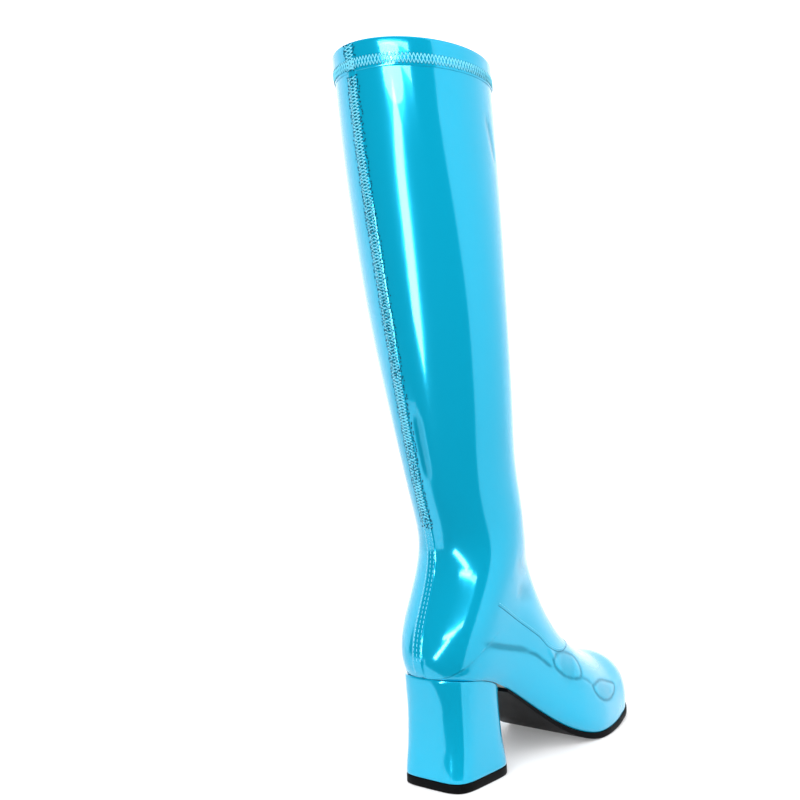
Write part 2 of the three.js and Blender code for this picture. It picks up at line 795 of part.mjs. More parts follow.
const SLIDER_FRAME = zipFrame(SLIDER_MIDDLE);
const CHAIN_HALF_THICKNESS = CHAIN_THICKNESS / 2;
const CHAIN_CENTRE_DEPTH = -WALL / 2;
const PLATE_INNER = CHAIN_CENTRE_DEPTH + CHAIN_HALF_THICKNESS + GAP;
const PLATE_OUTER = PLATE_INNER + SLIDER_PLATE;
const PIVOT_OUT = PLATE_OUTER + PULL_THICKNESS / 2 * Math.SQRT2 + GAP / 2;
const BRIDGE_INNER = 2 * PIVOT_OUT - PLATE_OUTER;

// A matrix from the slider's own axes (across, up, out) to the boot's.
function sliderMatrix(origin, up) {
  const across = SLIDER_FRAME.across;
  const out = across.clone().cross(up).normalize();
  return new THREE.Matrix4().makeBasis(across, up, out).setPosition(origin);
}

// A box in the slider's own axes, placed on the zip.
function sliderBox(low, high) {
  const size = new THREE.Vector3(high[0] - low[0], high[1] - low[1], high[2] - low[2]);
  const box = new THREE.BoxGeometry(size.x, size.y, size.z);
  box.translate((low[0] + high[0]) / 2, (low[1] + high[1]) / 2, (low[2] + high[2]) / 2);
  box.applyMatrix4(sliderMatrix(SLIDER_FRAME.point, SLIDER_FRAME.up));
  return toManifold(box);
}

// The slider: a plate on each side of the chain, joined at the top, with a bridge for the pull.
function makeSlider() {
  const end = SLIDER_LENGTH / 2;
  const side = SLIDER_WIDTH / 2;
  const backOuter = CHAIN_CENTRE_DEPTH - CHAIN_HALF_THICKNESS - GAP;
  const backInner = backOuter - SLIDER_PLATE;
  const post = BRIDGE_BAR;
  const half = BRIDGE_WIDTH / 2;
  const reach = BRIDGE_LENGTH / 2;
  const overlap = 0.1;
  const front = sliderBox([-side, -end, PLATE_INNER], [side, end, PLATE_OUTER]);
  const rear = sliderBox([-side, -end, backInner], [side, end, backOuter]);
  const neck = sliderBox(
    [-NECK_WIDTH / 2, end - NECK_LENGTH, backInner + overlap],
    [NECK_WIDTH / 2, end, PLATE_OUTER - overlap],
  );
  const bar = sliderBox([-half, -reach, BRIDGE_INNER], [half, reach, BRIDGE_INNER + BRIDGE_BAR]);
  const posts = [-reach, reach - post].map((start) => sliderBox(
    [-half, start, PLATE_OUTER - overlap],
    [half, start + post, BRIDGE_INNER + overlap],
  ));
  return [rear, neck, bar, ...posts].reduce((whole, piece) => whole.add(piece), front);
}

// The pull tab, hanging straight down from the bar that passes under the bridge.
function makePull() {
  const pivot = SLIDER_FRAME.point.clone().addScaledVector(SLIDER_FRAME.out, PIVOT_OUT);
  const up = new THREE.Vector3(0, 0, 1).addScaledVector(SLIDER_FRAME.across, -SLIDER_FRAME.across.z).normalize();
  const bar = PULL_THICKNESS / 2;
  const half = PULL_WIDTH / 2;
  const windowHalf = BRIDGE_WIDTH / 2 + PULL_SIDE_GAP;
  const windowLength = BRIDGE_LENGTH / 2 + PULL_SIDE_GAP + bar;
  const outline = new THREE.Shape();
  outline.moveTo(-half, bar);
  outline.lineTo(-half, bar - PULL_LENGTH + half);
  outline.absarc(0, bar - PULL_LENGTH + half, half, Math.PI, 2 * Math.PI, false);
  outline.lineTo(half, bar);
  const opening = new THREE.Path();
  opening.moveTo(-windowHalf, -bar);
  opening.lineTo(windowHalf, -bar);
  opening.lineTo(windowHalf, -windowLength);
  opening.lineTo(-windowHalf, -windowLength);
  outline.holes.push(opening);
  const plate = new THREE.ExtrudeGeometry(outline, { depth: PULL_THICKNESS, bevelEnabled: false, curveSegments: 8 });
  plate.translate(0, 0, -PULL_THICKNESS / 2);
  plate.applyMatrix4(sliderMatrix(pivot, up));
  return toManifold(plate);
}

const patent = new THREE.MeshStandardMaterial({ color: '#0aa5cf', roughness: 0.12, metalness: 0 });
const black = new THREE.MeshStandardMaterial({ color: '#0b0b0c', roughness: 0.5, metalness: 0 });
const board = new THREE.MeshStandardMaterial({ color: '#c9b79c', roughness: 0.8, metalness: 0 });
const coil = new THREE.MeshStandardMaterial({ color: '#0b7f9c', roughness: 0.5, metalness: 0 });
const metal = new THREE.MeshStandardMaterial({ color: '#b9bcc0', roughness: 0.3, metalness: 1 });

const boot = new THREE.Group();
boot.name = 'boot';
boot.add(meshFrom('upper', makeUpper(), patent));
boot.add(meshFrom('collar_hem', makeHem(), patent.clone()));
boot.add(meshFrom('insole', makeInsole(), board));
boot.add(meshFrom('outsole', makeOutsole(), black));
boot.add(meshFrom('heel', makeHeel(), patent.clone()));
boot.add(meshFrom('top_lift', makeTopLift(), black.clone()));
boot.add(meshFrom('zip_chain', makeZipChain(), coil));
boot.add(meshFrom('zip_slider', makeSlider(), metal));
boot.add(meshFrom('zip_pull', makePull(), metal.clone()));

// The origin is under the middle of the whole boot.
const bounds = new THREE.Box3().setFromObject(boot);
const centre = bounds.getCenter(new THREE.Vector3());
boot.position.set(-centre.x, -centre.y, -bounds.min.z);

export default boot;
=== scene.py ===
"""Looks of a knee-high block-heel boot in glossy patent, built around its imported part.

Shapes are worked out in millimetres in the last's own axes: x from the heel's back to the toe, y to the
inner side, z up from the floor. `SHIFT` and `METRE` carry them into the part's frame.
"""

import logging
import math
from dataclasses import dataclass
from enum import Enum

import bmesh
import bpy
import numpy as np
from mathutils import Matrix, Quaternion, Vector
from mathutils.bvhtree import BVHTree


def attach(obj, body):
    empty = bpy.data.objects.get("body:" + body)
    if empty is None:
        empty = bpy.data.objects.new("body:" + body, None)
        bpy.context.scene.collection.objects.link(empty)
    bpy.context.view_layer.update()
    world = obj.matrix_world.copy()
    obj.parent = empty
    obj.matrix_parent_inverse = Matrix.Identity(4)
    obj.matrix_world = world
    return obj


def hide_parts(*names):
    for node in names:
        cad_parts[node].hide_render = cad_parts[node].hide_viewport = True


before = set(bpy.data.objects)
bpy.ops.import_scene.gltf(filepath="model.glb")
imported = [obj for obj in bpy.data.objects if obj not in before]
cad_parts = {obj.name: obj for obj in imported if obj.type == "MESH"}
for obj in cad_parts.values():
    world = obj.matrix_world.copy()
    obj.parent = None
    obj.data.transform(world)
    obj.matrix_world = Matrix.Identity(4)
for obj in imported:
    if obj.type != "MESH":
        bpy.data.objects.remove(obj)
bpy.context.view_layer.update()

LOG = logging.getLogger("boot")
METRE = 0.001
SHADE = "shade"
SHIFT = np.array([-100.606, -8.183, 0.0])
RING_POINTS = 1441
CURVE_STEPS = 24
HALVINGS = 32
THREAD_SIDES = 5
THREAD_FLATNESS = 0.8
STITCH_BOW = 0.12
STITCH_SINK = 0.35
HOLE_SIDES = 6
ASKEW = (0.31, 0.22, 0.92)

FRONT_X, FRONT_Z, BACK_X, BACK_Z, OUTER, INNER, WIDEST, FRONT_POWER, BACK_POWER, SWING, ZIP, SEAM = range(12)


class Slot(Enum):
    """Kinds of material that the boot's pieces take."""

    PATENT = "patent"
    HEEL = "heel_cover"
    SOCK = "sock"
    SOLE = "sole"
    LIFT = "lift"
    TAPE = "zip_tape"
    METAL = "zip_metal"


@dataclass(frozen=True)
class Sizes:
    """Driving sizes of the boot, in millimetres, as in the part's source."""

    foot_length: float = 233.0
    ball_width: float = 84.0
    heel_width: float = 72.0
    instep_height: float = 72.0
    seat_height: float = 72.0
    toe_spring: float = 7.5
    toe_tip_height: float = 24.0
    boot_height: float = 502.0
    calf_depth: float = 116.0
    calf_width: float = 104.0
    wall: float = 1.8
    gap: float = 0.3
    forepart: float = 4.8
    shank: float = 2.6
    sole_margin: float = 0.8
    flat_length: float = 12.0
    breast: float = 56.0
    heel_base_width: float = 54.0
    heel_setback: float = 0.2
    lift: float = 6.2
    hem_thickness: float = 1.0
    seam_width: float = 8.0
    seam_rise: float = 0.5
    zip_end: float = 61.5
    slot_half: float = 5.0

    @property
    def ball(self) -> float:
        """Distance of the ball from the heel's back."""
        return 0.712 * self.foot_length

    @property
    def leg_height(self) -> float:
        """Height of the boot above the seat."""
        return self.boot_height - self.seat_height

    @property
    def heel_height(self) -> float:
        """Height of the covered heel block at the seat's front end."""
        return self.seat_height - self.lift - self.gap


SIZES = Sizes()

# The columns are the ones named above, with lengths as shares of the sizes that they follow.
FOOT_TABLE = (
    (0.875, 0.640, 0.865, 0.200, 0.450, 0.437, 0.66, 2.30, 3.20, 0.050, 180, 0),
    (0.803, 0.705, 0.781, 0.220, 0.500, 0.477, 0.68, 2.20, 3.20, 0.040, 180, 0),
    (0.715, 0.831, 0.674, 0.180, 0.526, 0.500, 0.68, 2.15, 3.00, 0.017, 180, 0),
    (0.635, 0.990, 0.565, 0.130, 0.503, 0.468, 0.66, 2.10, 2.80, 0.000, 180, 0),
    (0.567, 1.125, 0.446, 0.125, 0.452, 0.410, 0.62, 2.10, 2.70, -0.010, 150, 0),
    (0.514, 1.290, 0.318, 0.120, 0.418, 0.388, 0.58, 2.10, 2.80, -0.012, 115, 0),
    (0.478, 1.510, 0.181, 0.160, 0.408, 0.390, 0.56, 2.10, 2.80, -0.006, 77, 0.01),
)
ANKLE_TABLE = (
    (0.466, 0.177, 0.034, -0.014, 0.483, 0.478, 0.56, 2.10, 2.80, 0.000, 60, 0.02),
    (0.458, 0.202, -0.016, 0.046, 0.500, 0.498, 0.56, 2.10, 2.35, 0.000, 54, 0.04),
    (0.442, 0.228, 0.037, 0.111, 0.510, 0.502, 0.52, 2.10, 2.20, 0.000, 58, 0.08),
    (0.408, 0.281, 0.106, 0.192, 0.528, 0.505, 0.50, 2.10, 2.15, 0.014, 70, 0.10),
)
SHAFT_TABLE = (
    (0.549, 0.355, -0.112, 0.304, 0.385, 0.366, 0.50, 2.05, 2.05, 0.020, 75, 0.07),
    (0.514, 0.459, -0.204, 0.426, 0.444, 0.416, 0.50, 2.00, 2.00, 0.030, 77, 0.07),
    (0.476, 0.590, -0.293, 0.572, 0.490, 0.476, 0.50, 2.00, 2.00, 0.040, 81, 0.07),
    (0.478, 0.720, -0.376, 0.712, 0.503, 0.500, 0.50, 2.00, 2.00, 0.050, 83, 0.07),
    (0.488, 0.840, -0.450, 0.852, 0.496, 0.504, 0.50, 2.00, 2.00, 0.060, 84, 0.07),
    (0.478, 0.968, -0.495, 1.000, 0.490, 0.504, 0.50, 2.00, 2.00, 0.068, 84, 0.07),
)
# Drop below the seat, back, front, half width, shift, and the powers of the back and front corners.
HEEL_TABLE = (
    (-0.12, 0.000, 0.000, 0.525, 0.000, 2.8, 4.0),
    (0.00, 0.000, 0.000, 0.520, 0.000, 2.9, 4.0),
    (0.33, 0.030, 0.000, 0.504, -0.004, 3.4, 4.2),
    (0.67, 0.030, 0.020, 0.506, -0.010, 4.0, 4.4),
    (1.00, -0.004, 0.075, 0.511, -0.016, 4.7, 4.7),
)


def smoothstep(value: np.ndarray | float, low: float, high: float) -> np.ndarray | float:
    """Rises smoothly from 0 to 1.

    Args:
        value: What is compared.
        low: Where the rise starts.
        high: Where it ends; lower than `low` for a fall.

    Returns:
        The share, of the same shape as `value`.
    """
    share = np.clip((value - low) / (high - low), 0, 1)
    return share * share * (3 - 2 * share)


def catmull(a: np.ndarray, b: np.ndarray, c: np.ndarray, d: np.ndarray, f: float) -> np.ndarray:
    """A smooth curve through four rows.

    Args:
        a: Row before the span.
        b: Row at its start.
        c: Row at its end.
        d: Row after it.
        f: Share of the span.

    Returns:
        The row at that share.
    """
    return 0.5 * (2 * b + (c - a) * f + (2 * a - 5 * b + 4 * c - d) * f**2 + (3 * b - a - 3 * c + d) * f**3)


class Last:
    """The form that the boot is pulled over: slanting sections from the toe's tip to the collar."""

    SEAT_SHARE = 0.12
    SEAT_PITCH = 0.15
    SHANK_PITCH = 0.24
    AXIS_SHARE = 0.115
    CAP_WIDTH_POWER = 0.70
    CAP_HEIGHT_POWER = 0.85
    NUDGE = 0.02
    ZIP_HALVINGS = 36

    def __init__(self, sizes: Sizes) -> None:
        """Works out the rows of sections.

        Args:
            sizes: The boot's driving sizes.
        """
        self.sizes = sizes
        foot = [self._foot_row(row) for row in FOOT_TABLE]
        ankle = [self._leg_row(row, 0.0, sizes.foot_length, sizes.heel_width) for row in ANKLE_TABLE]
        axis = self.AXIS_SHARE * sizes.foot_length
        shaft = [self._leg_row(row, axis, sizes.calf_depth, sizes.calf_width) for row in SHAFT_TABLE]
        self.rows = np.array(foot + ankle + shaft)
        self.top = len(self.rows) - 1
        self.spacing = float(np.hypot(*(self.rows[-1] - self.rows[-2])[[BACK_X, BACK_Z]]))
        self.seam_start = len(FOOT_TABLE) - 1

    def sole_line(self, x: np.ndarray | float) -> np.ndarray:
        """Height of the line where the upper meets the heel and the outsole.

        Args:
            x: Distance from the heel's back.

        Returns:
            The height, of the same shape.
        """
        z = self.sizes
        x = np.asarray(x, float)
        seat_end = self.SEAT_SHARE * z.foot_length
        flat_start = z.ball - z.flat_length / 2
        flat_end = z.ball + z.flat_length / 2
        level = z.forepart + z.gap
        span = flat_start - seat_end
        u = np.clip((x - seat_end) / span, 0, 1)
        start = 2 * u**3 - 3 * u**2 + 1
        slope = u**3 - 2 * u**2 + u
        arch = start * z.seat_height - slope * span * self.SHANK_PITCH + (1 - start) * level
        beyond = np.maximum(0, x - flat_end) / (z.foot_length - flat_end)
        seat = z.seat_height + self.SEAT_PITCH * (seat_end - x)
        toe = level + z.toe_spring * beyond**2
        return np.where(x <= seat_end, seat, np.where(x < flat_start, arch, toe))

    def _foot_row(self, row: tuple[float, ...]) -> list[float]:
        """A foot section in millimetres.

        Args:
            row: Its row of the table.

        Returns:
            Its twelve values.
        """
        z = self.sizes
        ridge, bottom = row[0] * z.foot_length, row[2] * z.foot_length
        ridge_z = float(self.sole_line(ridge)) + row[1] * z.instep_height
        bottom_z = float(self.sole_line(bottom)) - row[3] * z.instep_height
        width = z.ball_width
        halves = [row[4] * width, row[5] * width]
        beside = [row[9] * width, row[10], row[11] * width]
        return [ridge, ridge_z, bottom, bottom_z, *halves, *row[6:9], *beside]

    def _leg_row(self, row: tuple[float, ...], axis: float, depth: float, width: float) -> list[float]:
        """An ankle or shaft section in millimetres.

        Args:
            row: Its row of the table.
            axis: Where its shares along the foot start.
            depth: The size that they follow.
            width: The size that its half widths follow.

        Returns:
            Its twelve values.
        """
        z = self.sizes
        front = [axis + row[0] * depth, z.seat_height + row[1] * z.leg_height]
        back = [axis + row[2] * depth, z.seat_height + row[3] * z.leg_height]
        halves = [row[4] * width, row[5] * width]
        return [*front, *back, *halves, *row[6:9], row[9] * width, row[10], row[11] * width]

    def section(self, place: float) -> np.ndarray:
        """The section at a place: -1 is the toe's tip, 0 the cap's base and `top` the collar.

        Args:
            place: Where along the rows.

        Returns:
            The section's twelve values.
        """
        if place < 0:
            return self._cap(-place)
        if place >= self.top:
            return self.rows[-1] + (self.rows[-1] - self.rows[-2]) * (place - self.top)
        i = int(place)
        b, c = self.rows[i], self.rows[i + 1]
        a = self.rows[i - 1] if i > 0 else 2 * b - c
        d = self.rows[i + 2] if i + 2 <= self.top else 2 * c - b
        return catmull(a, b, c, d, place - i)

    def _cap(self, share: float) -> np.ndarray:
        """The rounded toe beyond the first section.

        Args:
            share: 0 at the first section and 1 at the toe's tip.

        Returns:
            The section's twelve values.
        """
        base, behind = self.rows[0], self.rows[1]
        turn = share * math.pi / 2
        width = max(0.0, math.cos(turn)) ** self.CAP_WIDTH_POWER
        height = max(0.0, math.cos(turn)) ** self.CAP_HEIGHT_POWER
        length = self.sizes.foot_length
        places = (length - base[FRONT_X]) * math.sin(turn) / (base[FRONT_X] - behind[FRONT_X])
        carried = base + (base - behind) * places
        cap = base.copy()
        for k in (FRONT_X, BACK_X):
            cap[k] = base[k] + (length - base[k]) * math.sin(turn)
        for k in (FRONT_Z, BACK_Z):
            cap[k] = self.sizes.toe_tip_height + (carried[k] - self.sizes.toe_tip_height) * height
        for k in (OUTER, INNER):
            cap[k] = carried[k] * width
        return cap

    @staticmethod
    def inset(s: np.ndarray, depth: float) -> np.ndarray:
        """A section drawn in by a depth on every side.

        Args:
            s: The section.
            depth: How far; negative for outwards.

        Returns:
            The drawn section.
        """
        reach = s[[BACK_X, BACK_Z]] - s[[FRONT_X, FRONT_Z]]
        length = float(np.hypot(*reach))
        drawn = s.copy()
        if length < 1e-6:
            drawn[[FRONT_X, BACK_X]] -= depth
            return drawn
        keep = min(1.0, 0.5 * length / max(depth, 1e-6))
        drawn[[FRONT_X, FRONT_Z]] += keep * depth * reach / length
        drawn[[BACK_X, BACK_Z]] -= keep * depth * reach / length
        drawn[[OUTER, INNER]] = np.maximum(0, s[[OUTER, INNER]] - depth)
        return drawn

    @staticmethod
    def ring(s: np.ndarray, angles: np.ndarray) -> np.ndarray:
        """Points of a section at angles: 0 is its front, 90 degrees the inner side, 180 its back.

        Args:
            s: The section.
            angles: Angles in radians.

        Returns:
            One point for each angle.
        """
        c, n = np.cos(angles), np.sin(angles)
        power = np.where(c >= 0, s[FRONT_POWER], s[BACK_POWER])
        along = np.abs(c) ** (2 / power)
        across = np.sign(n) * np.abs(n) ** (2 / power)
        q = np.where(c >= 0, s[WIDEST] * (1 - along), s[WIDEST] + (1 - s[WIDEST]) * along)
        half = np.where(n >= 0, s[INNER], s[OUTER])
        x = s[FRONT_X] + (s[BACK_X] - s[FRONT_X]) * q
        z = s[FRONT_Z] + (s[BACK_Z] - s[FRONT_Z]) * q
        return np.column_stack((x, half * across + s[SWING], z))

    @staticmethod
    def back_angle(s: np.ndarray, beside: float) -> float:
        """Angle at the back whose point lies a stated distance beside the middle.

        Args:
            s: The section.
            beside: The distance, towards the inner side.

        Returns:
            The angle in radians.
        """
        half = s[INNER] if beside >= 0 else s[OUTER]
        sine = min(1.0, abs(beside) / max(half, 1e-6)) ** (s[BACK_POWER] / 2)
        return math.pi - math.copysign(math.asin(sine), beside)

    def feather(self, s: np.ndarray) -> tuple[float, float] | None:
        """Where a section meets the sole line.

        Args:
            s: The section.

        Returns:
            The angle on either side and the share down the section, or None where it stays above.
        """
        if s[BACK_Z] >= self.sole_line(s[BACK_X]):
            return None
        low, high = 0.0, 1.0
        for _ in range(HALVINGS):
            q = (low + high) / 2
            x = s[FRONT_X] + (s[BACK_X] - s[FRONT_X]) * q
            z = s[FRONT_Z] + (s[BACK_Z] - s[FRONT_Z]) * q
            low, high = (q, high) if z > self.sole_line(x) else (low, q)
        if low > s[WIDEST]:
            along = (low - s[WIDEST]) / (1 - s[WIDEST])
            return math.pi - math.acos(min(1.0, along ** (s[BACK_POWER] / 2))), low
        return math.acos(min(1.0, (1 - low / s[WIDEST]) ** (s[FRONT_POWER] / 2))), low

    def feather_end(self, inside: float, outside: float) -> float:
        """The last place towards `outside` where the section still reaches below the sole line.

        Args:
            inside: A place that reaches below it.
            outside: A place that doesn't.

        Returns:
            The place.
        """
        for _ in range(HALVINGS):
            middle = (inside + outside) / 2
            if self.feather(self.section(middle)) is None:
                outside = middle
            else:
                inside = middle
        return inside

    def zip_point(self, place: float) -> np.ndarray:
        """A point of the zip's line on the skin.

        Args:
            place: Where along the rows.

        Returns:
            The point.
        """
        angle = math.radians(self.section(min(place, self.top))[ZIP])
        return self.ring(self.section(place), np.array([angle]))[0]

    def zip_place(self, height: float) -> float:
        """The place on the zip's line at a height.

        Args:
            height: Height above the floor.

        Returns:
            The place.
        """
        low, high = len(FOOT_TABLE) - 3.0, self.top + 1.0
        for _ in range(self.ZIP_HALVINGS):
            middle = (low + high) / 2
            low, high = (middle, high) if self.zip_point(middle)[2] < height else (low, middle)
        return (low + high) / 2

    def zip_axes(self, height: float) -> tuple[np.ndarray, np.ndarray, np.ndarray, np.ndarray]:
        """The zip's own axes at a height.

        Args:
            height: Height above the floor.

        Returns:
            The point on the skin, and unit vectors along the zip, across it and out of the wall.
        """
        place = self.zip_place(height)
        angle = math.radians(self.section(min(place, self.top))[ZIP])
        up = unit(self.zip_point(place + self.NUDGE) - self.zip_point(place - self.NUDGE))
        ends = self.ring(self.section(place), np.array([angle - self.NUDGE, angle + self.NUDGE]))
        out = unit(np.cross(up, ends[1] - ends[0]))
        out = -out if out[1] < 0 else out
        return self.zip_point(place), up, unit(np.cross(up, out)), out


def unit(v: np.ndarray) -> np.ndarray:
    """Vectors of length one, along the last axis.

    Args:
        v: The vectors.

    Returns:
        The same directions.
    """
    return v / np.maximum(np.linalg.norm(v, axis=-1, keepdims=True), 1e-12)


def arc_lengths(path: np.ndarray) -> np.ndarray:
    """How far along a path each of its points lies.

    Args:
        path: Its points.

    Returns:
        One length for each, 0 for the first.
    """
    return np.concatenate(([0], np.cumsum(np.linalg.norm(np.diff(path, axis=0), axis=1))))


@dataclass
class Shell:
    """Loose mesh data in the last's millimetres."""

    points: np.ndarray
    faces: list[tuple[int, ...]]
    # Painted shade for each point, where there is any.
    shade: np.ndarray | None = None


def grid_shell(points: np.ndarray, keep: np.ndarray | None = None, weld: np.ndarray | None = None,
               around: bool = False) -> Shell:
    """A shell from a grid of points.

    Args:
        points: Rows by columns by three.
        keep: Which cells have a face; all where left out.
        weld: Rows whose first and last points are one point.
        around: Whether the last column joins the first.

    Returns:
        The shell, its faces out of the boot for rows that rise and columns that turn to the inner side.
    """
    rows, columns = points.shape[:2]
    index = np.arange(rows * columns).reshape(rows, columns)
    if weld is not None:
        index = index.copy()
        index[weld, -1] = index[weld, 0]
    if around:
        index = np.hstack((index, index[:, :1]))
    quads = np.stack((index[:-1, :-1], index[:-1, 1:], index[1:, 1:], index[1:, :-1]), -1)
    chosen = quads[keep] if keep is not None else quads.reshape(-1, 4)
    faces = []
    for quad in chosen.tolist():
        face = tuple(dict.fromkeys(quad))
        if len(face) > 2:
            faces.append(face)
    return Shell(points.reshape(-1, 3), faces)


def closed_rings(rings: np.ndarray) -> Shell:
    """A closed body from rings of points.

    Args:
        rings: Rows of points from the lower end to the upper one, each row once round.

    Returns:
        The shell, closed at both ends.
    """
    shell = grid_shell(rings, around=True)
    count, size = len(shell.points), rings.shape[1]
    ends = [tuple(reversed(range(size))), tuple(range(count - size, count))]
    return Shell(shell.points, shell.faces + ends)


def tube(path: np.ndarray, normals: np.ndarray, radius: float, sides: int = THREAD_SIDES,
         flat: float = THREAD_FLATNESS) -> Shell:
    """A thread along a path.

    Args:
        path: Its points.
        normals: Directions out of the surface below it.
        radius: Half its width.
        sides: How many sides it has.
        flat: Its height as a share of its width.

    Returns:
        The thread's shell, closed at both ends.
    """
    along = unit(np.gradient(path, axis=0))
    side = unit(np.cross(along, normals))
    out = unit(np.cross(side, along))
    turns = 2 * math.pi * np.arange(sides) / sides
    rings = path[:, None] + radius * (
        np.cos(turns)[None, :, None] * side[:, None] + flat * np.sin(turns)[None, :, None] * out[:, None])
    shell = grid_shell(rings, around=True)
    count = len(shell.points)
    ends = [tuple(range(sides)), tuple(range(count - 1, count - sides - 1, -1))]
    return Shell(shell.points, shell.faces + ends)


def bridge(ends: np.ndarray, outs: np.ndarray, radius: float) -> Shell:
    """One stitch from hole to hole, its ends sunk into the material.

    Args:
        ends: Its two ends on the surface.
        outs: Directions out of the surface at both.
        radius: Half its width.

    Returns:
        The thread's shell.
    """
    middle = ends.mean(axis=0) + STITCH_BOW * outs[0]
    sunk = ends - STITCH_SINK * outs
    path = np.array((sunk[0], ends[0], middle, ends[1], sunk[1]))
    return tube(path, np.repeat(outs[:1], len(path), axis=0), radius)


def dots(spots: np.ndarray, outs: np.ndarray, radius: float) -> Shell:
    """Small flat round spots, such as the painted shade of needle holes.

    Args:
        spots: Their middles.
        outs: Directions out of the surface.
        radius: How large they are.

    Returns:
        One flat face for each.
    """
    side = unit(np.cross(outs, ASKEW))
    other = np.cross(outs, side)
    turns = 2 * math.pi * np.arange(HOLE_SIDES) / HOLE_SIDES
    rings = spots[:, None] + radius * (
        np.cos(turns)[None, :, None] * side[:, None] + np.sin(turns)[None, :, None] * other[:, None])
    starts = range(0, HOLE_SIDES * len(spots), HOLE_SIDES)
    return Shell(rings.reshape(-1, 3), [tuple(range(start, start + HOLE_SIDES)) for start in starts])


def merge(shells: list[Shell]) -> Shell:
    """Many shells as one.

    Args:
        shells: The shells.

    Returns:
        All their points and faces.
    """
    points, faces, base = [], [], 0
    for shell in shells:
        points.append(shell.points)
        faces.extend(tuple(i + base for i in face) for face in shell.faces)
        base += len(shell.points)
    return Shell(np.vstack(points), faces)


def make_object(name: str, shell: Shell, material: bpy.types.Material,
                smooth: bool = True) -> bpy.types.Object:
    """A mesh object in the part's frame.

    Args:
        name: The object's name.
        shell: Its mesh in the last's millimetres.
        material: What it is made of.
        smooth: Whether its faces are shaded smoothly.

    Returns:
        The object, linked to the scene.
    """
    mesh = bpy.data.meshes.new(name)
    mesh.from_pydata(((shell.points + SHIFT) * METRE).tolist(), [], shell.faces)
    # The shade mark is painted shade, read by the patent's material.
    if shell.shade is not None:
        marks = mesh.attributes.new(SHADE, "FLOAT", "POINT")
        marks.data.foreach_set("value", shell.shade.astype(np.float32))
    mesh.validate()
    mesh.update()
    if smooth:
        mesh.shade_smooth()
    else:
        mesh.shade_flat()
    mesh.materials.append(material)
    obj = bpy.data.objects.new(name, mesh)
    bpy.context.scene.collection.objects.link(obj)
    return obj


class Surface:
    """A built shell as something to lay threads on."""

    def __init__(self, shell: Shell) -> None:
        """Sorts the shell's faces for finding the nearest one.

        Args:
            shell: What threads are laid on.
        """
        self.tree = BVHTree.FromPolygons(shell.points.tolist(), shell.faces)

    def lay(self, path: np.ndarray, lift: float) -> tuple[np.ndarray, np.ndarray]:
        """The nearest points of the surface to a path.

        Args:
            path: Points near the surface.
            lift: How far above it the results lie.

        Returns:
            The lifted points and the directions out of the surface.
        """
        points, normals = [], []
        for p in path:
            spot, normal, _, _ = self.tree.find_nearest(Vector(p))
            points.append(np.array(spot) + lift * np.array(normal))
            normals.append(np.array(normal))
        return np.array(points), np.array(normals)


def resample(path: np.ndarray, step: float) -> np.ndarray:
    """A path cut into even steps, on a smooth curve through its points.

    Args:
        path: Its corners.
        step: Length of a step.

    Returns:
        The points along it.
    """
    padded = np.vstack((2 * path[0] - path[1], path, 2 * path[-1] - path[-2]))
    shares = np.linspace(0, 1, CURVE_STEPS, endpoint=False)
    fine = [catmull(*padded[i : i + 4], f) for i in range(len(path) - 1) for f in shares]
    fine = np.array([*fine, path[-1]])
    along = arc_lengths(fine)
    wanted = np.linspace(0, along[-1], max(2, round(along[-1] / step) + 1))
    return np.column_stack([np.interp(wanted, along, fine[:, k]) for k in range(3)])


@dataclass(frozen=True)
class Finish:
    """How a material looks."""

    colour: tuple[float, float, float]
    roughness: float
    metallic: float = 0.0
    coat: float = 0.0
    specular: float = 0.5
    grain: float = 0.0
    grain_scale: float = 300.0
    unevenness: float = 0.0
    # Whether the material darkens where the painted shade mark is.
    shaded: bool = False


PATENT = Finish((0.0, 0.385, 0.60), 0.15, metallic=0.35, coat=0.6, specular=0.2, grain=0.02,
                grain_scale=260.0, unevenness=0.04, shaded=True)
FINISHES = {
    Slot.PATENT: PATENT,
    Slot.HEEL: PATENT,
    Slot.SOCK: Finish((0.50, 0.42, 0.32), 0.75, grain=0.15, grain_scale=900.0, unevenness=0.1),
    Slot.SOLE: Finish((0.0015, 0.0015, 0.0018), 0.5, specular=0.05, grain=0.12, grain_scale=1100.0,
                      unevenness=0.1),
    Slot.LIFT: Finish((0.0015, 0.0015, 0.0018), 0.52, specular=0.06, grain=0.16, grain_scale=1500.0,
                      unevenness=0.1),
    Slot.TAPE: Finish((0.002, 0.20, 0.30), 0.6, grain=0.4, grain_scale=2200.0),
    Slot.METAL: Finish((0.72, 0.73, 0.75), 0.22, metallic=1.0, grain=0.03, grain_scale=1200.0,
                       unevenness=0.05),
}
THREAD = Finish((0.17, 0.64, 0.80), 0.5, grain=0.2, grain_scale=3000.0)
# Painted shade: the needle holes are flat dark spots laid on the surface, not holes.
HOLE = Finish((0.0, 0.06, 0.11), 0.6, specular=0.1)
SEAM_LINE = Finish((0.0, 0.17, 0.27), 0.5, specular=0.2)
LINING = Finish((0.05, 0.33, 0.42), 0.7, grain=0.2, grain_scale=1600.0)


def set_inputs(node: bpy.types.Node, values: dict[str, object]) -> None:
    """Sets a node's inputs by their names.

    Args:
        node: The node.
        values: Names and values.
    """
    for name, value in values.items():
        node.inputs[name].default_value = value


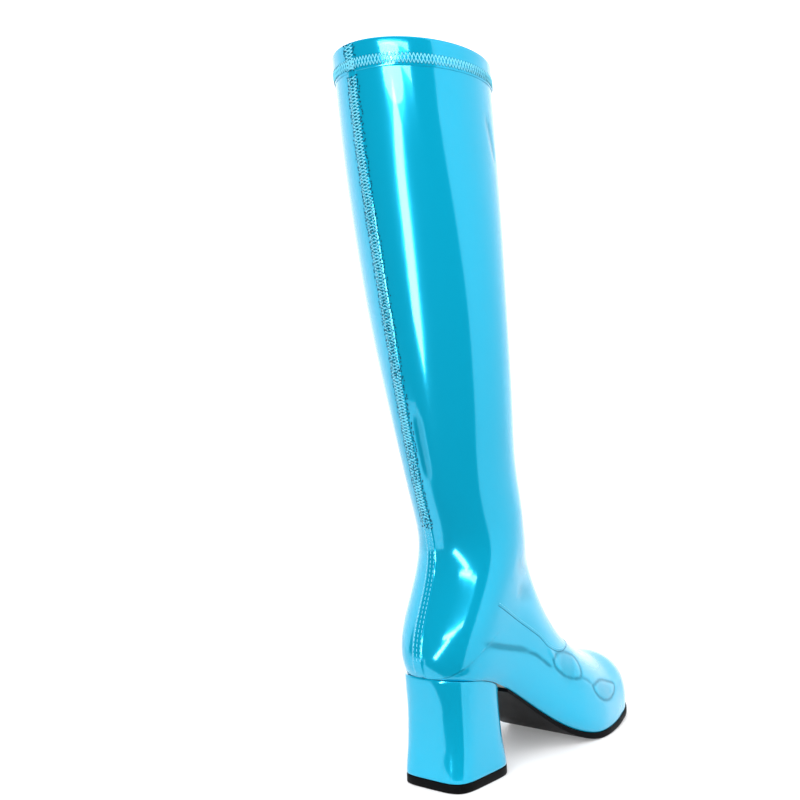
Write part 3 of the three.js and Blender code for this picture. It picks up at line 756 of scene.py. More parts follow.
class Materials:
    """Every material of the boot, made once."""

    COAT_ROUGHNESS = 0.03
    GRAIN_DEPTH = 0.0004
    CLOUD_SCALE = 22.0
    # How much coat and colour are left at full painted shade.
    PAINTED_SHADE_COAT = 0.05
    PAINTED_SHADE_TINT = 0.56

    def __init__(self) -> None:
        """Makes them all."""
        self.grain = self._grain_group()
        self.by_slot = {slot: self._make(slot.value, finish) for slot, finish in FINISHES.items()}
        self.thread = self._make("thread", THREAD)
        self.hole = self._make("painted_needle_hole_shade", HOLE)
        self.seam_line = self._make("seam_line", SEAM_LINE)
        self.lining = self._make("lining", LINING)

    def _grain_group(self) -> bpy.types.NodeTree:
        """A shared group: a fine height and a slow cloud from the piece's own place.

        Returns:
            The group, with a scale going in.
        """
        group = bpy.data.node_groups.new("grain", "ShaderNodeTree")
        group.interface.new_socket("Scale", in_out="INPUT", socket_type="NodeSocketFloat")
        group.interface.new_socket("Height", in_out="OUTPUT", socket_type="NodeSocketFloat")
        group.interface.new_socket("Cloud", in_out="OUTPUT", socket_type="NodeSocketFloat")
        nodes, links = group.nodes, group.links
        start, end = nodes.new("NodeGroupInput"), nodes.new("NodeGroupOutput")
        place = nodes.new("ShaderNodeTexCoord")
        fine, slow = nodes.new("ShaderNodeTexNoise"), nodes.new("ShaderNodeTexNoise")
        set_inputs(fine, {"Detail": 3.0})
        set_inputs(slow, {"Scale": self.CLOUD_SCALE, "Detail": 2.0})
        links.new(place.outputs["Object"], fine.inputs["Vector"])
        links.new(place.outputs["Object"], slow.inputs["Vector"])
        links.new(start.outputs["Scale"], fine.inputs["Scale"])
        links.new(fine.outputs["Fac"], end.inputs["Height"])
        links.new(slow.outputs["Fac"], end.inputs["Cloud"])
        return group

    def _make(self, name: str, finish: Finish) -> bpy.types.Material:
        """A material from a finish.

        Args:
            name: Its name.
            finish: How it looks.

        Returns:
            The material.
        """
        material = bpy.data.materials.new(name)
        material.use_nodes = True
        nodes, links = material.node_tree.nodes, material.node_tree.links
        shader = nodes["Principled BSDF"]
        set_inputs(shader, {"Base Color": (*finish.colour, 1), "Metallic": finish.metallic,
                            "Roughness": finish.roughness, "Specular IOR Level": finish.specular,
                            "Coat Weight": finish.coat, "Coat Roughness": self.COAT_ROUGHNESS})
        grain, bump = nodes.new("ShaderNodeGroup"), nodes.new("ShaderNodeBump")
        grain.node_tree = self.grain
        set_inputs(grain, {"Scale": finish.grain_scale})
        set_inputs(bump, {"Strength": finish.grain, "Distance": self.GRAIN_DEPTH})
        links.new(grain.outputs["Height"], bump.inputs["Height"])
        links.new(bump.outputs["Normal"], shader.inputs["Normal"])
        # Painted shade and painted dark reflections: where the shade mark is high, the base colour is
        # darkened and the coat thinned.
        if finish.shaded:
            mark, dip, blend = (nodes.new("ShaderNode" + kind) for kind in ("Attribute", "MapRange", "Mix"))
            mark.attribute_name = SHADE
            set_inputs(dip, {"To Min": finish.coat, "To Max": self.PAINTED_SHADE_COAT * finish.coat})
            blend.data_type = "RGBA"
            tint = (*(self.PAINTED_SHADE_TINT * c for c in finish.colour), 1)
            set_inputs(blend, {"A": (*finish.colour, 1), "B": tint})
            links.new(mark.outputs["Fac"], dip.inputs["Value"])
            links.new(mark.outputs["Fac"], blend.inputs["Factor"])
            links.new(dip.outputs["Result"], shader.inputs["Coat Weight"])
            links.new(blend.outputs["Result"], shader.inputs["Base Color"])
        if finish.unevenness:
            spread = nodes.new("ShaderNodeMapRange")
            set_inputs(spread, {"To Min": finish.roughness - finish.unevenness,
                                "To Max": finish.roughness + finish.unevenness})
            links.new(grain.outputs["Cloud"], spread.inputs["Value"])
            links.new(spread.outputs["Result"], shader.inputs["Roughness"])
        return material


@dataclass(frozen=True)
class Crease:
    """A soft trough or ridge.

    It has points along it, its width, its depth, negative for a ridge, and how much painted shade darkens
    its bottom.
    A closed one does not fade out at its ends.
    """

    path: tuple[tuple[float, float, float], ...]
    width: float
    depth: float
    shade: float = 0.0
    closed: bool = False


# Every crease with a shade gets painted shade in its trough. The two closed outlines on the vamp and the
# wide patches inside them are painted dark reflections.
CREASES = (
    Crease(((18, -32, 101), (36, -34.3, 95), (53, -34.4, 90), (67, -34.6, 86), (84, -35, 79)),
           2.5, 0.55, 0.9),
    Crease(((67, -34.6, 85), (81, -35, 80), (90, -35.7, 74), (98, -36.5, 68), (106, -37, 64)),
           1.6, 0.40, 1.0),
    Crease(((103, -36, 71), (105, -37, 65), (112, -37.6, 59), (121, -38.5, 54), (133, -39, 51),
            (138, -37, 55), (138, -34, 62), (134, -32.5, 67), (123, -33.5, 72), (111, -35, 74),
            (103, -36, 71)), 1.5, 0.3, 1.0, True),
    Crease(((110, -36, 66), (121, -36.5, 63), (132, -36.5, 58)), 12.0, 0.3, 0.30),
    Crease(((149, -40, 41.5), (151, -41, 36), (160, -41.5, 29), (173, -40, 26), (185, -36, 28),
            (190, -33, 32.5), (181, -34, 37), (165, -36.5, 42), (149, -40, 41.5)), 1.5, 0.3, 1.0, True),
    Crease(((154, -40, 38), (168, -38.5, 34), (183, -36, 32)), 9.0, 0.3, 0.30),
    Crease(((133, -39, 51), (140, -39, 49), (146, -39, 45), (150, -40, 41)), 1.4, 0.2, 0.7),
    Crease(((99, -35.6, 81), (103, -36, 74), (106, -36.5, 67)), 2.4, -0.7),
    Crease(((37, -44, 456), (42, -43, 446), (46, -42, 434), (50, -41, 420)), 3.4, 0.6, 0.5),
    Crease(((6, -40, 470), (5, -40, 455), (8, -41, 440)), 4.0, 0.5),
    Crease(((2, -1, 262), (7, -1, 240), (14, -2, 205)), 4.0, 0.6, 0.5),
    Crease(((60, -33, 150), (74, -27, 143), (86, -15, 136)), 7.0, 0.8, 0.3),
    Crease(((64, -33, 128), (82, -27, 122), (96, -14, 114)), 7.0, 0.7, 0.3),
)


class Piece:
    """Something that is built over the last."""

    def __init__(self, last: Last, sizes: Sizes) -> None:
        """Keeps what its shape follows.

        Args:
            last: The last.
            sizes: The boot's driving sizes.
        """
        self.last = last
        self.sizes = sizes


class Upper(Piece):
    """Skin and lining of foot and shaft."""

    FOOT_STEPS = 16
    ANKLE_STEPS = 12
    SHAFT_STEPS = 22
    CAP_STEPS = 24
    LONG_SIDE = 170
    SHORT_SIDE = 36
    EVENING = 30
    ZIP_FROM_END = 20.0
    DETAILED_ROUND = 110.0
    SLOT_STEPS = 3
    LEAST_SLOT = 0.4
    SEAM_SOFTNESS = 0.4
    TOP_CLEARANCE, END_CLEARANCE = 0.01, 0.02
    EVEN_FROM, EVEN_TO = 0.15, 0.8
    CREASE_REACH, CREASE_STEP = 90.0, 2.0
    CREASE_FADE, CREASE_EDGE = (-0.05, 0.30), (0.15, 0.75)
    SEAM_OFFSETS = (0.0, 1.0, 2.0, 3.2, 3.8, 4.2, 4.8, 6.0)
    TUCK = ((0.0, 0.25), (1.0, 0.10), (2.0, 0.03), (3.2, 0.0))
    EDGE = ((6.0, 0.0), (3.0, 0.0), (1.5, 0.0), (1.0, 0.0), (0.75, 0.03), (0.5, 0.13), (0.25, 0.34),
            (0.08, 0.6), (0.04, 0.9), (0.0, 1.4))

    def __init__(self, last: Last, sizes: Sizes) -> None:
        """Works out where the rows of the grid lie.

        Args:
            last: The last.
            sizes: The boot's driving sizes.
        """
        super().__init__(last, sizes)
        self.heel_end = last.feather_end(last.seam_start, last.seam_start + 4)
        self.upper_top = last.top - (sizes.hem_thickness + sizes.gap) / last.spacing
        self.places = self._row_places()

    def _row_places(self) -> np.ndarray:
        """Places of the grid's rows.

        Returns:
            The places, from the toe's tip to the hem.
        """
        places = [-k / self.CAP_STEPS for k in range(self.CAP_STEPS, 0, -1)]
        for i in range(self.last.top):
            foot, ankle = i < len(FOOT_TABLE) - 1, i < len(FOOT_TABLE) + len(ANKLE_TABLE) - 1
            steps = self.FOOT_STEPS if foot else self.ANKLE_STEPS if ankle else self.SHAFT_STEPS
            places.extend(i + k / steps for k in range(steps))
        clear = [p for p in places
                 if p < self.upper_top - self.TOP_CLEARANCE and abs(p - self.heel_end) > self.END_CLEARANCE]
        return np.array(sorted([*clear, self.heel_end, self.upper_top]))

    def _row(self, place: float, depth: float) -> dict:
        """One row of the grid: its points, and how deep and how far from its ends each one is.

        Args:
            place: Where the row lies.
            depth: How far inside the skin.

        Returns:
            The points, their further depths, their distances from the row's ends, and what the row is.
        """
        s = self.last.section(place)
        feather = self.last.feather(s)
        closed = feather is None
        if closed:
            seam = self.last.back_angle(s, s[SEAM])
            dense = np.linspace(seam - 2 * math.pi, seam, RING_POINTS)
        else:
            dense = np.linspace(-feather[0], feather[0], RING_POINTS)
        s = self.last.inset(s, depth)
        outline = self.last.ring(s, dense)
        arcs = arc_lengths(outline)
        total = float(arcs[-1])
        scale = min(1.0, total / self.DETAILED_ROUND)
        zip_angle = math.radians(s[ZIP])
        zip_at = total - self.ZIP_FROM_END * scale
        if closed or zip_angle < dense[-1]:
            zip_at = min(zip_at, float(np.interp(zip_angle, dense, arcs)))
        height = float(np.interp(zip_at, arcs, outline[:, 2]))
        above = height - self.sizes.zip_end if zip_at < total - (self.ZIP_FROM_END + 1) * scale else -1.0
        half = self.sizes.slot_half
        rise = min(half, max(0.0, above))
        slot = max(self.LEAST_SLOT, math.sqrt(half**2 - (half - rise) ** 2)) * scale
        ends = np.array(self.SEAM_OFFSETS) * scale
        edge = np.array(self.EDGE)
        left = zip_at - slot - edge[:, 0] * scale
        right = zip_at + slot + edge[::-1, 0] * scale
        first = np.linspace(ends[-1], left[0], self.LONG_SIDE)[1:-1]
        inside = np.linspace(left[-1], right[0], self.SLOT_STEPS + 2)[1:-1]
        second = np.linspace(right[-1], total - ends[-1], self.SHORT_SIDE)[1:-1]
        at = np.concatenate((ends, first, left, inside, right, second, total - ends[::-1]))
        into = np.zeros(len(at))
        if above > 0:
            start = len(ends) + len(first)
            profile = np.concatenate((edge[:, 1], np.full(self.SLOT_STEPS, edge[-1, 1]), edge[::-1, 1]))
            into[start : start + len(profile)] = profile
        points = self.last.ring(s, np.interp(at, arcs, dense))
        points[[0, -1]] = outline[[0, -1]]
        beside = np.minimum(at, total - at)
        return {"points": points, "into": into * smoothstep(above, 0, 2), "beside": beside, "closed": closed,
                "open_slot": above > 0, "slot_start": len(ends) + len(first) + len(edge) - 1}

    def grid(self, depth: float) -> tuple[np.ndarray, list[dict], np.ndarray]:
        """The grid's points at a depth, what its rows are, and which cells have faces.

        Args:
            depth: How far inside the skin.

        Returns:
            The points, the rows and the cells to keep.
        """
        rows = [self._row(place, depth) for place in self.places]
        points = np.array([row["points"] for row in rows])
        keep = np.ones((points.shape[0] - 1, points.shape[1] - 1), bool)
        start = rows[0]["slot_start"]
        for i, (low, high) in enumerate(zip(rows, rows[1:])):
            if low["open_slot"] and high["open_slot"]:
                keep[i, start : start + self.SLOT_STEPS + 1] = False
        return points, rows, keep

    @staticmethod
    def normals(points: np.ndarray, closed: np.ndarray) -> np.ndarray:
        """Directions out of the grid's surface.

        Args:
            points: The grid's points.
            closed: Which rows go all the way round.

        Returns:
            One direction for each point.
        """
        up = np.gradient(points, axis=0)
        across = np.gradient(points, axis=1)
        wrap = points[:, 1] - points[:, -2]
        across[closed, 0] = wrap[closed]
        across[closed, -1] = wrap[closed]
        normals = unit(np.cross(across, up))
        normals[0] = (1, 0, 0)
        return normals

    def creases(self, points: np.ndarray) -> tuple[np.ndarray, np.ndarray]:
        """How far the listed creases press the surface in, and how much painted shade they put on it.

        Args:
            points: The grid's points.

        Returns:
            Both, for each point.
        """
        pressed, dark = np.zeros(points.shape[:2]), np.zeros(points.shape[:2])
        for crease in CREASES:
            path = resample(np.array(crease.path, float), self.CREASE_STEP)
            near = np.linalg.norm(points - path.mean(axis=0), axis=-1) < self.CREASE_REACH
            spots = points[near]
            distance = np.linalg.norm(spots[:, None] - path[None], axis=-1)
            nearest = distance.argmin(axis=1)
            share = nearest / (len(path) - 1)
            inwards = np.minimum(share, 1 - share)
            fade = 1.0 if crease.closed else smoothstep(inwards, *self.CREASE_FADE)
            profile = fade * np.exp(-((distance.min(axis=1) / crease.width) ** 2))
            pressed[near] += crease.depth * profile
            dark[near] = np.maximum(dark[near], crease.shade * smoothstep(profile, *self.CREASE_EDGE))
        return pressed, dark

    def evened(self, points: np.ndarray) -> np.ndarray:
        """The grid with the rows of ankle and shaft evened out lengthwise, for calm reflections.

        Args:
            points: The grid's points; they are changed.

        Returns:
            The same points.
        """
        share = smoothstep(self.places - self.heel_end, self.EVEN_FROM, self.EVEN_TO)[1:-1, None, None]
        for _ in range(self.EVENING):
            middle = (points[:-2] + points[2:]) / 2
            points[1:-1] += 0.5 * share * (middle - points[1:-1])
        return points

    def skin(self) -> Shell:
        """The outer skin with its seam band, rolled zip edges, tucked-in feather edge and creases, and
        painted shade and painted dark reflections as a mark on its points.

        Returns:
            The skin.
        """
        points, rows, keep = self.grid(0.0)
        points = self.evened(points)
        closed = np.array([row["closed"] for row in rows])
        beside = np.array([row["beside"] for row in rows])
        into = np.array([row["into"] for row in rows])
        seam = closed & (self.places > self.last.seam_start)
        half, soft = self.sizes.seam_width / 2, self.SEAM_SOFTNESS
        raised = self.sizes.seam_rise * smoothstep(beside, half + soft, half - soft) * seam[:, None]
        offsets, depths = np.array(self.TUCK).T
        tuck = np.interp(beside, offsets, depths) * ~closed[:, None]
        normals = self.normals(points, closed)
        pressed, dark = self.creases(points)
        depth = into + tuck + pressed - raised
        shell = grid_shell(points - normals * depth[..., None], keep, closed)
        shell.shade = dark.reshape(-1)
        return shell

    def lining(self) -> Shell:
        """The inner face of the wall.

        Returns:
            The lining.
        """
        points, rows, keep = self.grid(self.sizes.wall)
        closed = np.array([row["closed"] for row in rows])
        return grid_shell(points[:, ::-1], keep[:, ::-1], closed)

    def build(self, materials: Materials) -> tuple[list[bpy.types.Object], Surface]:
        """Makes both pieces.

        Args:
            materials: The boot's materials.

        Returns:
            The objects, and the skin as a surface for threads.
        """
        skin = self.skin()
        objects = [make_object("upper_skin", skin, materials.by_slot[Slot.PATENT]),
                   make_object("upper_lining", self.lining(), materials.lining)]
        for obj in objects:
            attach(obj, "boot")
            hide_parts("upper")
        return objects, Surface(skin)


class Collar(Piece):
    """The turned band at the top edge and the cover stitch on it."""

    AROUND = 220
    PROFILE = ((19.0, 0.10), (18.9, 0.30), (18.6, 0.42), (18.0, 0.50), (15.0, 0.62), (12.0, 0.70),
               (6.0, 0.85), (2.0, 0.85), (1.0, 0.75), (0.4, 0.5), (0.08, 0.1), (0.0, -0.6), (0.0, -1.8),
               (0.2, -2.5), (0.7, -2.95), (1.6, -3.1), (10.0, -3.1), (18.6, -3.1), (19.0, -2.8),
               (19.0, -2.1))
    RIPPLE, RIPPLES, WAVES = 0.10, 27, 8
    PITCH = 5.0
    UPPER_ROW, LOWER_ROW = 10.8, 17.2
    ROW_OUT = 0.9
    THREAD_LIFT, THREAD_RADIUS = 0.16, 0.32
    HOLE_LIFT, HOLE_RADIUS, HOLE_FLATNESS = 0.02, 0.50, 0.35
    HOLE_BEHIND, HOLE_AHEAD = 0.04, 0.24

    def _angles(self, count: int, margin: float) -> np.ndarray:
        """Angles round the collar from one side of the zip to the other, evenly along it.

        Args:
            count: How many.
            margin: Distance of the first and the last from the zip's middle.

        Returns:
            The angles in radians.
        """
        s = self.last.section(self.last.top)
        zip_angle = math.radians(s[ZIP])
        dense = np.linspace(zip_angle, zip_angle + 2 * math.pi, RING_POINTS)
        arcs = arc_lengths(self.last.ring(s, dense))
        return np.interp(np.linspace(margin, arcs[-1] - margin, count), arcs, dense)

    def _point(self, drop: float, out: float, angles: np.ndarray) -> np.ndarray:
        """Points a distance below the edge and out of the skin.

        Args:
            drop: The distance below the edge.
            out: The distance out of the skin.
            angles: Angles round the collar.

        Returns:
            One point for each angle.
        """
        s = self.last.section(self.last.top - drop / self.last.spacing)
        return self.last.ring(self.last.inset(s, -out), angles)

    def band(self) -> Shell:
        """The folded band, closed at the zip.

        Returns:
            Its shell.
        """
        angles = self._angles(self.AROUND, self.sizes.slot_half)
        grid = np.array([self._point(drop, out, angles) for drop, out in self.PROFILE])
        ripple = self.RIPPLE * np.sin(angles * self.RIPPLES) * np.sin(angles * self.WAVES + 1)
        for i, (drop, out) in enumerate(self.PROFILE):
            if out > 0:
                grid[i] += unit(grid[i] - grid[-1]) * (ripple * smoothstep(drop, 1, 6))[:, None]
        shell = grid_shell(grid)
        rows, count = grid.shape[:2]
        first = [tuple(i * count for i in range(rows))]
        last = [tuple(i * count + count - 1 for i in reversed(range(rows)))]
        return Shell(shell.points, shell.faces + first + last)

    def stitches(self, band: Surface) -> tuple[Shell, Shell]:
        """The cover stitch.

        Args:
            band: The folded band to lay it on.

        Returns:
            Two crossing zigzags between two rows, and dark marks of painted shade for the needle holes at
            their corners.
        """
        turns = np.linspace(0, 2 * math.pi, RING_POINTS)
        once_round = self.last.ring(self.last.section(self.last.top), turns)
        count = 2 * round(float(arc_lengths(once_round)[-1]) / self.PITCH)
        angles = self._angles(count, self.sizes.slot_half + 2)
        rows = [self._point(drop, self.ROW_OUT, angles) for drop in (self.UPPER_ROW, self.LOWER_ROW)]
        threads, holes = [], []
        for phase in (0, 1):
            upper = (np.arange(count) + phase) % 2 == 0
            near = np.where(upper[:, None], *rows)
            corners, outs = band.lay(near, self.THREAD_LIFT)
            threads.extend(bridge(corners[i : i + 2], outs[i : i + 2], self.THREAD_RADIUS)
                           for i in range(count - 1))
            ahead = near[1:] - near[:-1]
            for corner, way in ((near[:-1], ahead), (near[1:], -ahead)):
                starts, outs = band.lay(corner - self.HOLE_BEHIND * way, self.HOLE_LIFT)
                stops, _ = band.lay(corner + self.HOLE_AHEAD * way, self.HOLE_LIFT)
                spots = zip(starts[phase::2], stops[phase::2], outs[phase::2])
                shape = (self.HOLE_RADIUS, HOLE_SIDES, self.HOLE_FLATNESS)
                holes.extend(tube(np.array((a, b)), np.array((o, o)), *shape) for a, b, o in spots)
        return merge(threads), merge(holes)

    def build(self, materials: Materials) -> tuple[list[bpy.types.Object], Surface]:
        """Makes the band and its stitches.

        Args:
            materials: The boot's materials.

        Returns:
            The objects, and the band as a surface for threads.
        """
        band = self.band()
        surface = Surface(band)
        threads, holes = self.stitches(surface)
        objects = [make_object("collar_band", band, materials.by_slot[Slot.PATENT]),
                   make_object("collar_stitches", threads, materials.thread),
                   make_object("collar_painted_hole_shade", holes, materials.hole)]
        for obj in objects:
            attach(obj, "boot")
            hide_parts("collar_hem")
        return objects, surface


class Seams(Piece):
    """Threads of the back seam and of the seam over the vamp."""

    VAMP = ((40, -36, 122), (53, -35, 114), (67, -34, 105), (78, -34.5, 98), (90, -34.5, 90), (101, -35, 80),
            (116, -33, 74), (134, -24, 73), (146, -12, 76), (152, 0, 77), (146, 12, 77), (132, 24, 73),
            (117, 31, 68), (104, 31.6, 69), (94, 31.5, 76), (86.5, 31.5, 82))
    SEED = 7
    BACK_HALVINGS = 30
    SKIN_FROM, SKIN_TO = 176.0, 480.0
    HEM_FROM, HEM_TO = 484.5, 500.5
    COVER_PITCH, COVER_REACH = 4.2, 3.6
    COVER_LIFT, COVER_RADIUS = 0.18, 0.34
    HOLE_REACHES = (5.4, 4.0, 2.4, 0.6)
    HOLE_JITTER, HOLE_LIFT, HOLE_RADIUS = 0.9, 0.12, 0.66
    ROWS = (-3.0, 0.0, 3.0)
    ROWS_FROM, ROWS_TO = 178.0, 86.0
    ROWS_HEIGHTS, ROWS_EVERY = 110, 6
    ROWS_STEP, ROWS_LIFT = 0.55, 0.12
    LINE_STEP, LINE_LIFT = 1.2, 0.02
    LINE_RADIUS, LINE_SIDES, LINE_FLATNESS = 0.32, 6, 0.7
    VAMP_ROW, VAMP_STEP, VAMP_LIFT = 1.8, 0.6, 0.1
    # A dash has points along it, ends that go in, and a radius.
    ROWS_DASH, VAMP_DASH = (5, 0.3, 0.24), (4, 0.25, 0.2)

    def __init__(self, last: Last, sizes: Sizes, skin: Surface, hem: Surface) -> None:
        """Keeps what the threads lie on.

        Args:
            last: The last.
            sizes: The boot's driving sizes.
            skin: The upper's skin.
            hem: The collar's band.
        """
        super().__init__(last, sizes)
        self.skin = skin
        self.hem = hem
        self.random = np.random.default_rng(self.SEED)

    def _back(self, places: np.ndarray, beside: np.ndarray) -> np.ndarray:
        """Points beside the back seam's middle.

        Args:
            places: Where along the rows.
            beside: How far to the inner side of the middle.

        Returns:
            One point for each.
        """
        found = []
        for place, offset in zip(places, beside):
            s = self.last.section(place)
            found.append(self.last.ring(s, np.array([self.last.back_angle(s, s[SEAM] + offset)]))[0])
        return np.array(found)

    def _places(self, heights: np.ndarray) -> np.ndarray:
        """The places whose backs lie at stated heights.

        Args:
            heights: Heights above the floor.

        Returns:
            One place for each.
        """
        found = []
        for height in heights:
            low, high = float(self.last.seam_start), float(self.last.top)
            for _ in range(self.BACK_HALVINGS):
                middle = (low + high) / 2
                below = self.last.section(middle)[BACK_Z] < height
                low, high = (middle, high) if below else (low, middle)
            found.append((low + high) / 2)
        return np.array(found)

    def cover_stitch(self, surface: Surface, low: float, high: float) -> tuple[Shell, Shell]:
        """Two crossing zigzags down the back, and dark spots of painted shade for their needle holes.

        Args:
            surface: What they lie on.
            low: Height of their lower end.
            high: Height of their upper end.

        Returns:
            The threads, and the holes as spots of painted shade.
        """
        count = 2 * round((high - low) / self.COVER_PITCH)
        places = self._places(np.linspace(high, low, count))
        threads, holes = [], []
        for phase in (0, 1):
            side = np.where((np.arange(count) + phase) % 2 == 0, -1.0, 1.0)
            corners, outs = surface.lay(self._back(places, self.COVER_REACH * side), self.COVER_LIFT)
            threads.extend(bridge(corners[i : i + 2], outs[i : i + 2], self.COVER_RADIUS)
                           for i in range(count - 1))
            for reach in self.HOLE_REACHES:
                jitter = self.random.uniform(-self.HOLE_JITTER, self.HOLE_JITTER, (count, 3))
                spots = self._back(places, reach * side) + jitter
                holes.append(dots(*surface.lay(spots, self.HOLE_LIFT), self.HOLE_RADIUS))
        return merge(threads), merge(holes)

    @staticmethod
    def dashes(points: np.ndarray, outs: np.ndarray, count: int, sink: float, radius: float) -> Shell:
        """A row of straight stitches with one step between them.

        Args:
            points: Even steps along the row.
            outs: Directions out of the surface at each.
            count: Points that a stitch takes.
            sink: How far its ends go in.
            radius: Half its width.

        Returns:
            The stitches.
        """
        shells = []
        for i in range(0, len(points) - count, count + 1):
            part = points[i : i + count].copy()
            part[[0, -1]] -= sink * outs[[i, i + count - 1]]
            shells.append(tube(part, outs[i : i + count], radius))
        return merge(shells)

    def straight_rows(self) -> Shell:
        """Three rows of straight stitches from the ankle to the heel.

        Returns:
            Their threads.
        """
        places = self._places(np.linspace(self.ROWS_FROM, self.ROWS_TO, self.ROWS_HEIGHTS))
        places = places[:: self.ROWS_EVERY]
        rows = []
        for beside in self.ROWS:
            path = resample(self._back(places, np.full(len(places), beside)), self.ROWS_STEP)
            rows.append(self.dashes(*self.skin.lay(path, self.ROWS_LIFT), *self.ROWS_DASH))
        return merge(rows)

    def vamp_line(self) -> Shell:
        """The raised line of the seam over the vamp.

        Returns:
            Its thread.
        """
        path = resample(np.array(self.VAMP, float), self.LINE_STEP)
        points, outs = self.skin.lay(path, self.LINE_LIFT)
        return tube(points, outs, self.LINE_RADIUS, self.LINE_SIDES, self.LINE_FLATNESS)

    def vamp_stitches(self) -> Shell:
        """The row of stitches beside the vamp's line.

        Returns:
            Their threads.
        """
        points, outs = self.skin.lay(resample(np.array(self.VAMP, float), self.VAMP_STEP), 0.0)
        along = unit(np.gradient(points, axis=0))
        beside = points + self.VAMP_ROW * unit(np.cross(outs, along))
        return self.dashes(*self.skin.lay(beside, self.VAMP_LIFT), *self.VAMP_DASH)

    def build(self, materials: Materials) -> list[bpy.types.Object]:
        """Makes every thread.

        Args:
            materials: The boot's materials.

        Returns:
            The objects.
        """
        runs = [self.cover_stitch(self.skin, self.SKIN_FROM, self.SKIN_TO),
                self.cover_stitch(self.hem, self.HEM_FROM, self.HEM_TO)]
        cover, holes = (merge([run[k] for run in runs]) for k in (0, 1))
        threads = {"seam_cover_stitch": cover, "seam_straight_rows": self.straight_rows(),
                   "vamp_stitches": self.vamp_stitches()}
        objects = [make_object(name, shell, materials.thread) for name, shell in threads.items()]
        objects.append(make_object("seam_painted_hole_shade", holes, materials.hole))
        objects.append(make_object("vamp_line", self.vamp_line(), materials.seam_line))
        for obj in objects:
            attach(obj, "boot")
            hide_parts("upper")
        return objects


class Heel(Piece):
    """The covered block and the wearing piece under it."""

    AROUND = 120
    RISE_STEPS = 26
    CORNER_CROWDING = 0.10
    TOP_PASSES = 4
    LOWER_RIM = ((0.0, 0.0, 0.7), (0.0, 0.12, 0.25), (0.0, 0.45, 0.0))
    UPPER_RIM = ((1.0, -0.4, 0.0), (1.0, -0.1, 0.12), (1.0, 0.0, 0.45))

    def _row(self, drop: float) -> np.ndarray:
        """The block's row at a drop below the seat, as a share of its height.

        Args:
            drop: The share.

        Returns:
            The row's values.
        """
        table = np.array(HEEL_TABLE)
        drop = min(max(drop, table[0, 0]), 1.0)
        i = min(int(np.searchsorted(table[:, 0], drop, side="right")) - 1, len(table) - 2)
        before, after = table[max(i - 1, 0)], table[min(i + 2, len(table) - 1)]
        f = (drop - table[i, 0]) / (table[i + 1, 0] - table[i, 0])
        return catmull(before, table[i], table[i + 1], after, f)

    def ring(self, height: float, inset: float = 0.0) -> np.ndarray:
        """The block's outline at a height, drawn in by a distance.

        Args:
            height: Height above the floor.
            inset: The distance.

        Returns:
            Points once round.
        """
        z = self.sizes
        row = self._row((z.seat_height - height) / z.heel_height)
        _, back, front, half, shift, back_power, front_power = row
        x_back = z.heel_setback + back * z.heel_height + inset
        x_front = z.breast + front * z.heel_height - inset
        middle = (x_back + x_front) / 2
        turns = 2 * math.pi * np.arange(self.AROUND) / self.AROUND
        turns = turns + self.CORNER_CROWDING * np.sin(4 * turns)
        c, n = np.cos(turns), np.sin(turns)
        power = np.where(c >= 0, front_power, back_power)
        x = middle + (x_front - middle) * np.sign(c) * np.abs(c) ** (2 / power)
        reach = z.heel_base_width * half - inset
        y = z.heel_base_width * shift + reach * np.sign(n) * np.abs(n) ** (2 / power)
        return np.column_stack((x, y, np.full(self.AROUND, height)))

    def cover(self) -> Shell:
        """The block up to the seat, with both rims rounded.

        Returns:
            The cover.
        """
        z = self.sizes
        bottom = z.lift + z.gap
        between = [(share, 0.0, 0.0) for share in np.linspace(0, 1, self.RISE_STEPS)[1:-1]]
        rings = []
        for share, extra, inset in (*self.LOWER_RIM, *between, *self.UPPER_RIM):
            points = self.ring(bottom + extra, inset)
            for _ in range(self.TOP_PASSES):
                top = self.last.sole_line(points[:, 0]) - z.gap / 3
                heights = bottom + (top - bottom) * share + extra
                if share > 0:
                    points = np.array([self.ring(h, inset)[k] for k, h in enumerate(heights)])
            points[:, 2] = heights
            rings.append(points)
        return closed_rings(np.array(rings))

    def wearing_piece(self) -> Shell:
        """The black piece on the floor, its edges slightly rounded.

        Returns:
            The wearing piece.
        """
        z = self.sizes
        foot = z.lift + z.gap
        rim = ((0.0, 0.6), (0.15, 0.2), (0.5, 0.0))
        levels = (*rim, (z.lift - 0.5, 0.0), (z.lift - 0.12, 0.15), (z.lift, 0.5))
        rings = []
        for height, inset in levels:
            ring = self.ring(foot, inset)
            ring[:, 2] = height
            rings.append(ring)
        return closed_rings(np.array(rings))

    def build(self, materials: Materials) -> list[bpy.types.Object]:
        """Makes both pieces.

        Args:
            materials: The boot's materials.

        Returns:
            The objects.
        """
        cover = make_object("heel_cover", self.cover(), materials.by_slot[Slot.HEEL])
        lift = make_object("heel_lift", self.wearing_piece(), materials.by_slot[Slot.LIFT])
        for obj, node, slot in ((cover, "heel", Slot.HEEL), (lift, "top_lift", Slot.LIFT)):
            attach(obj, "boot")
            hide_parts(node)
        return [cover, lift]


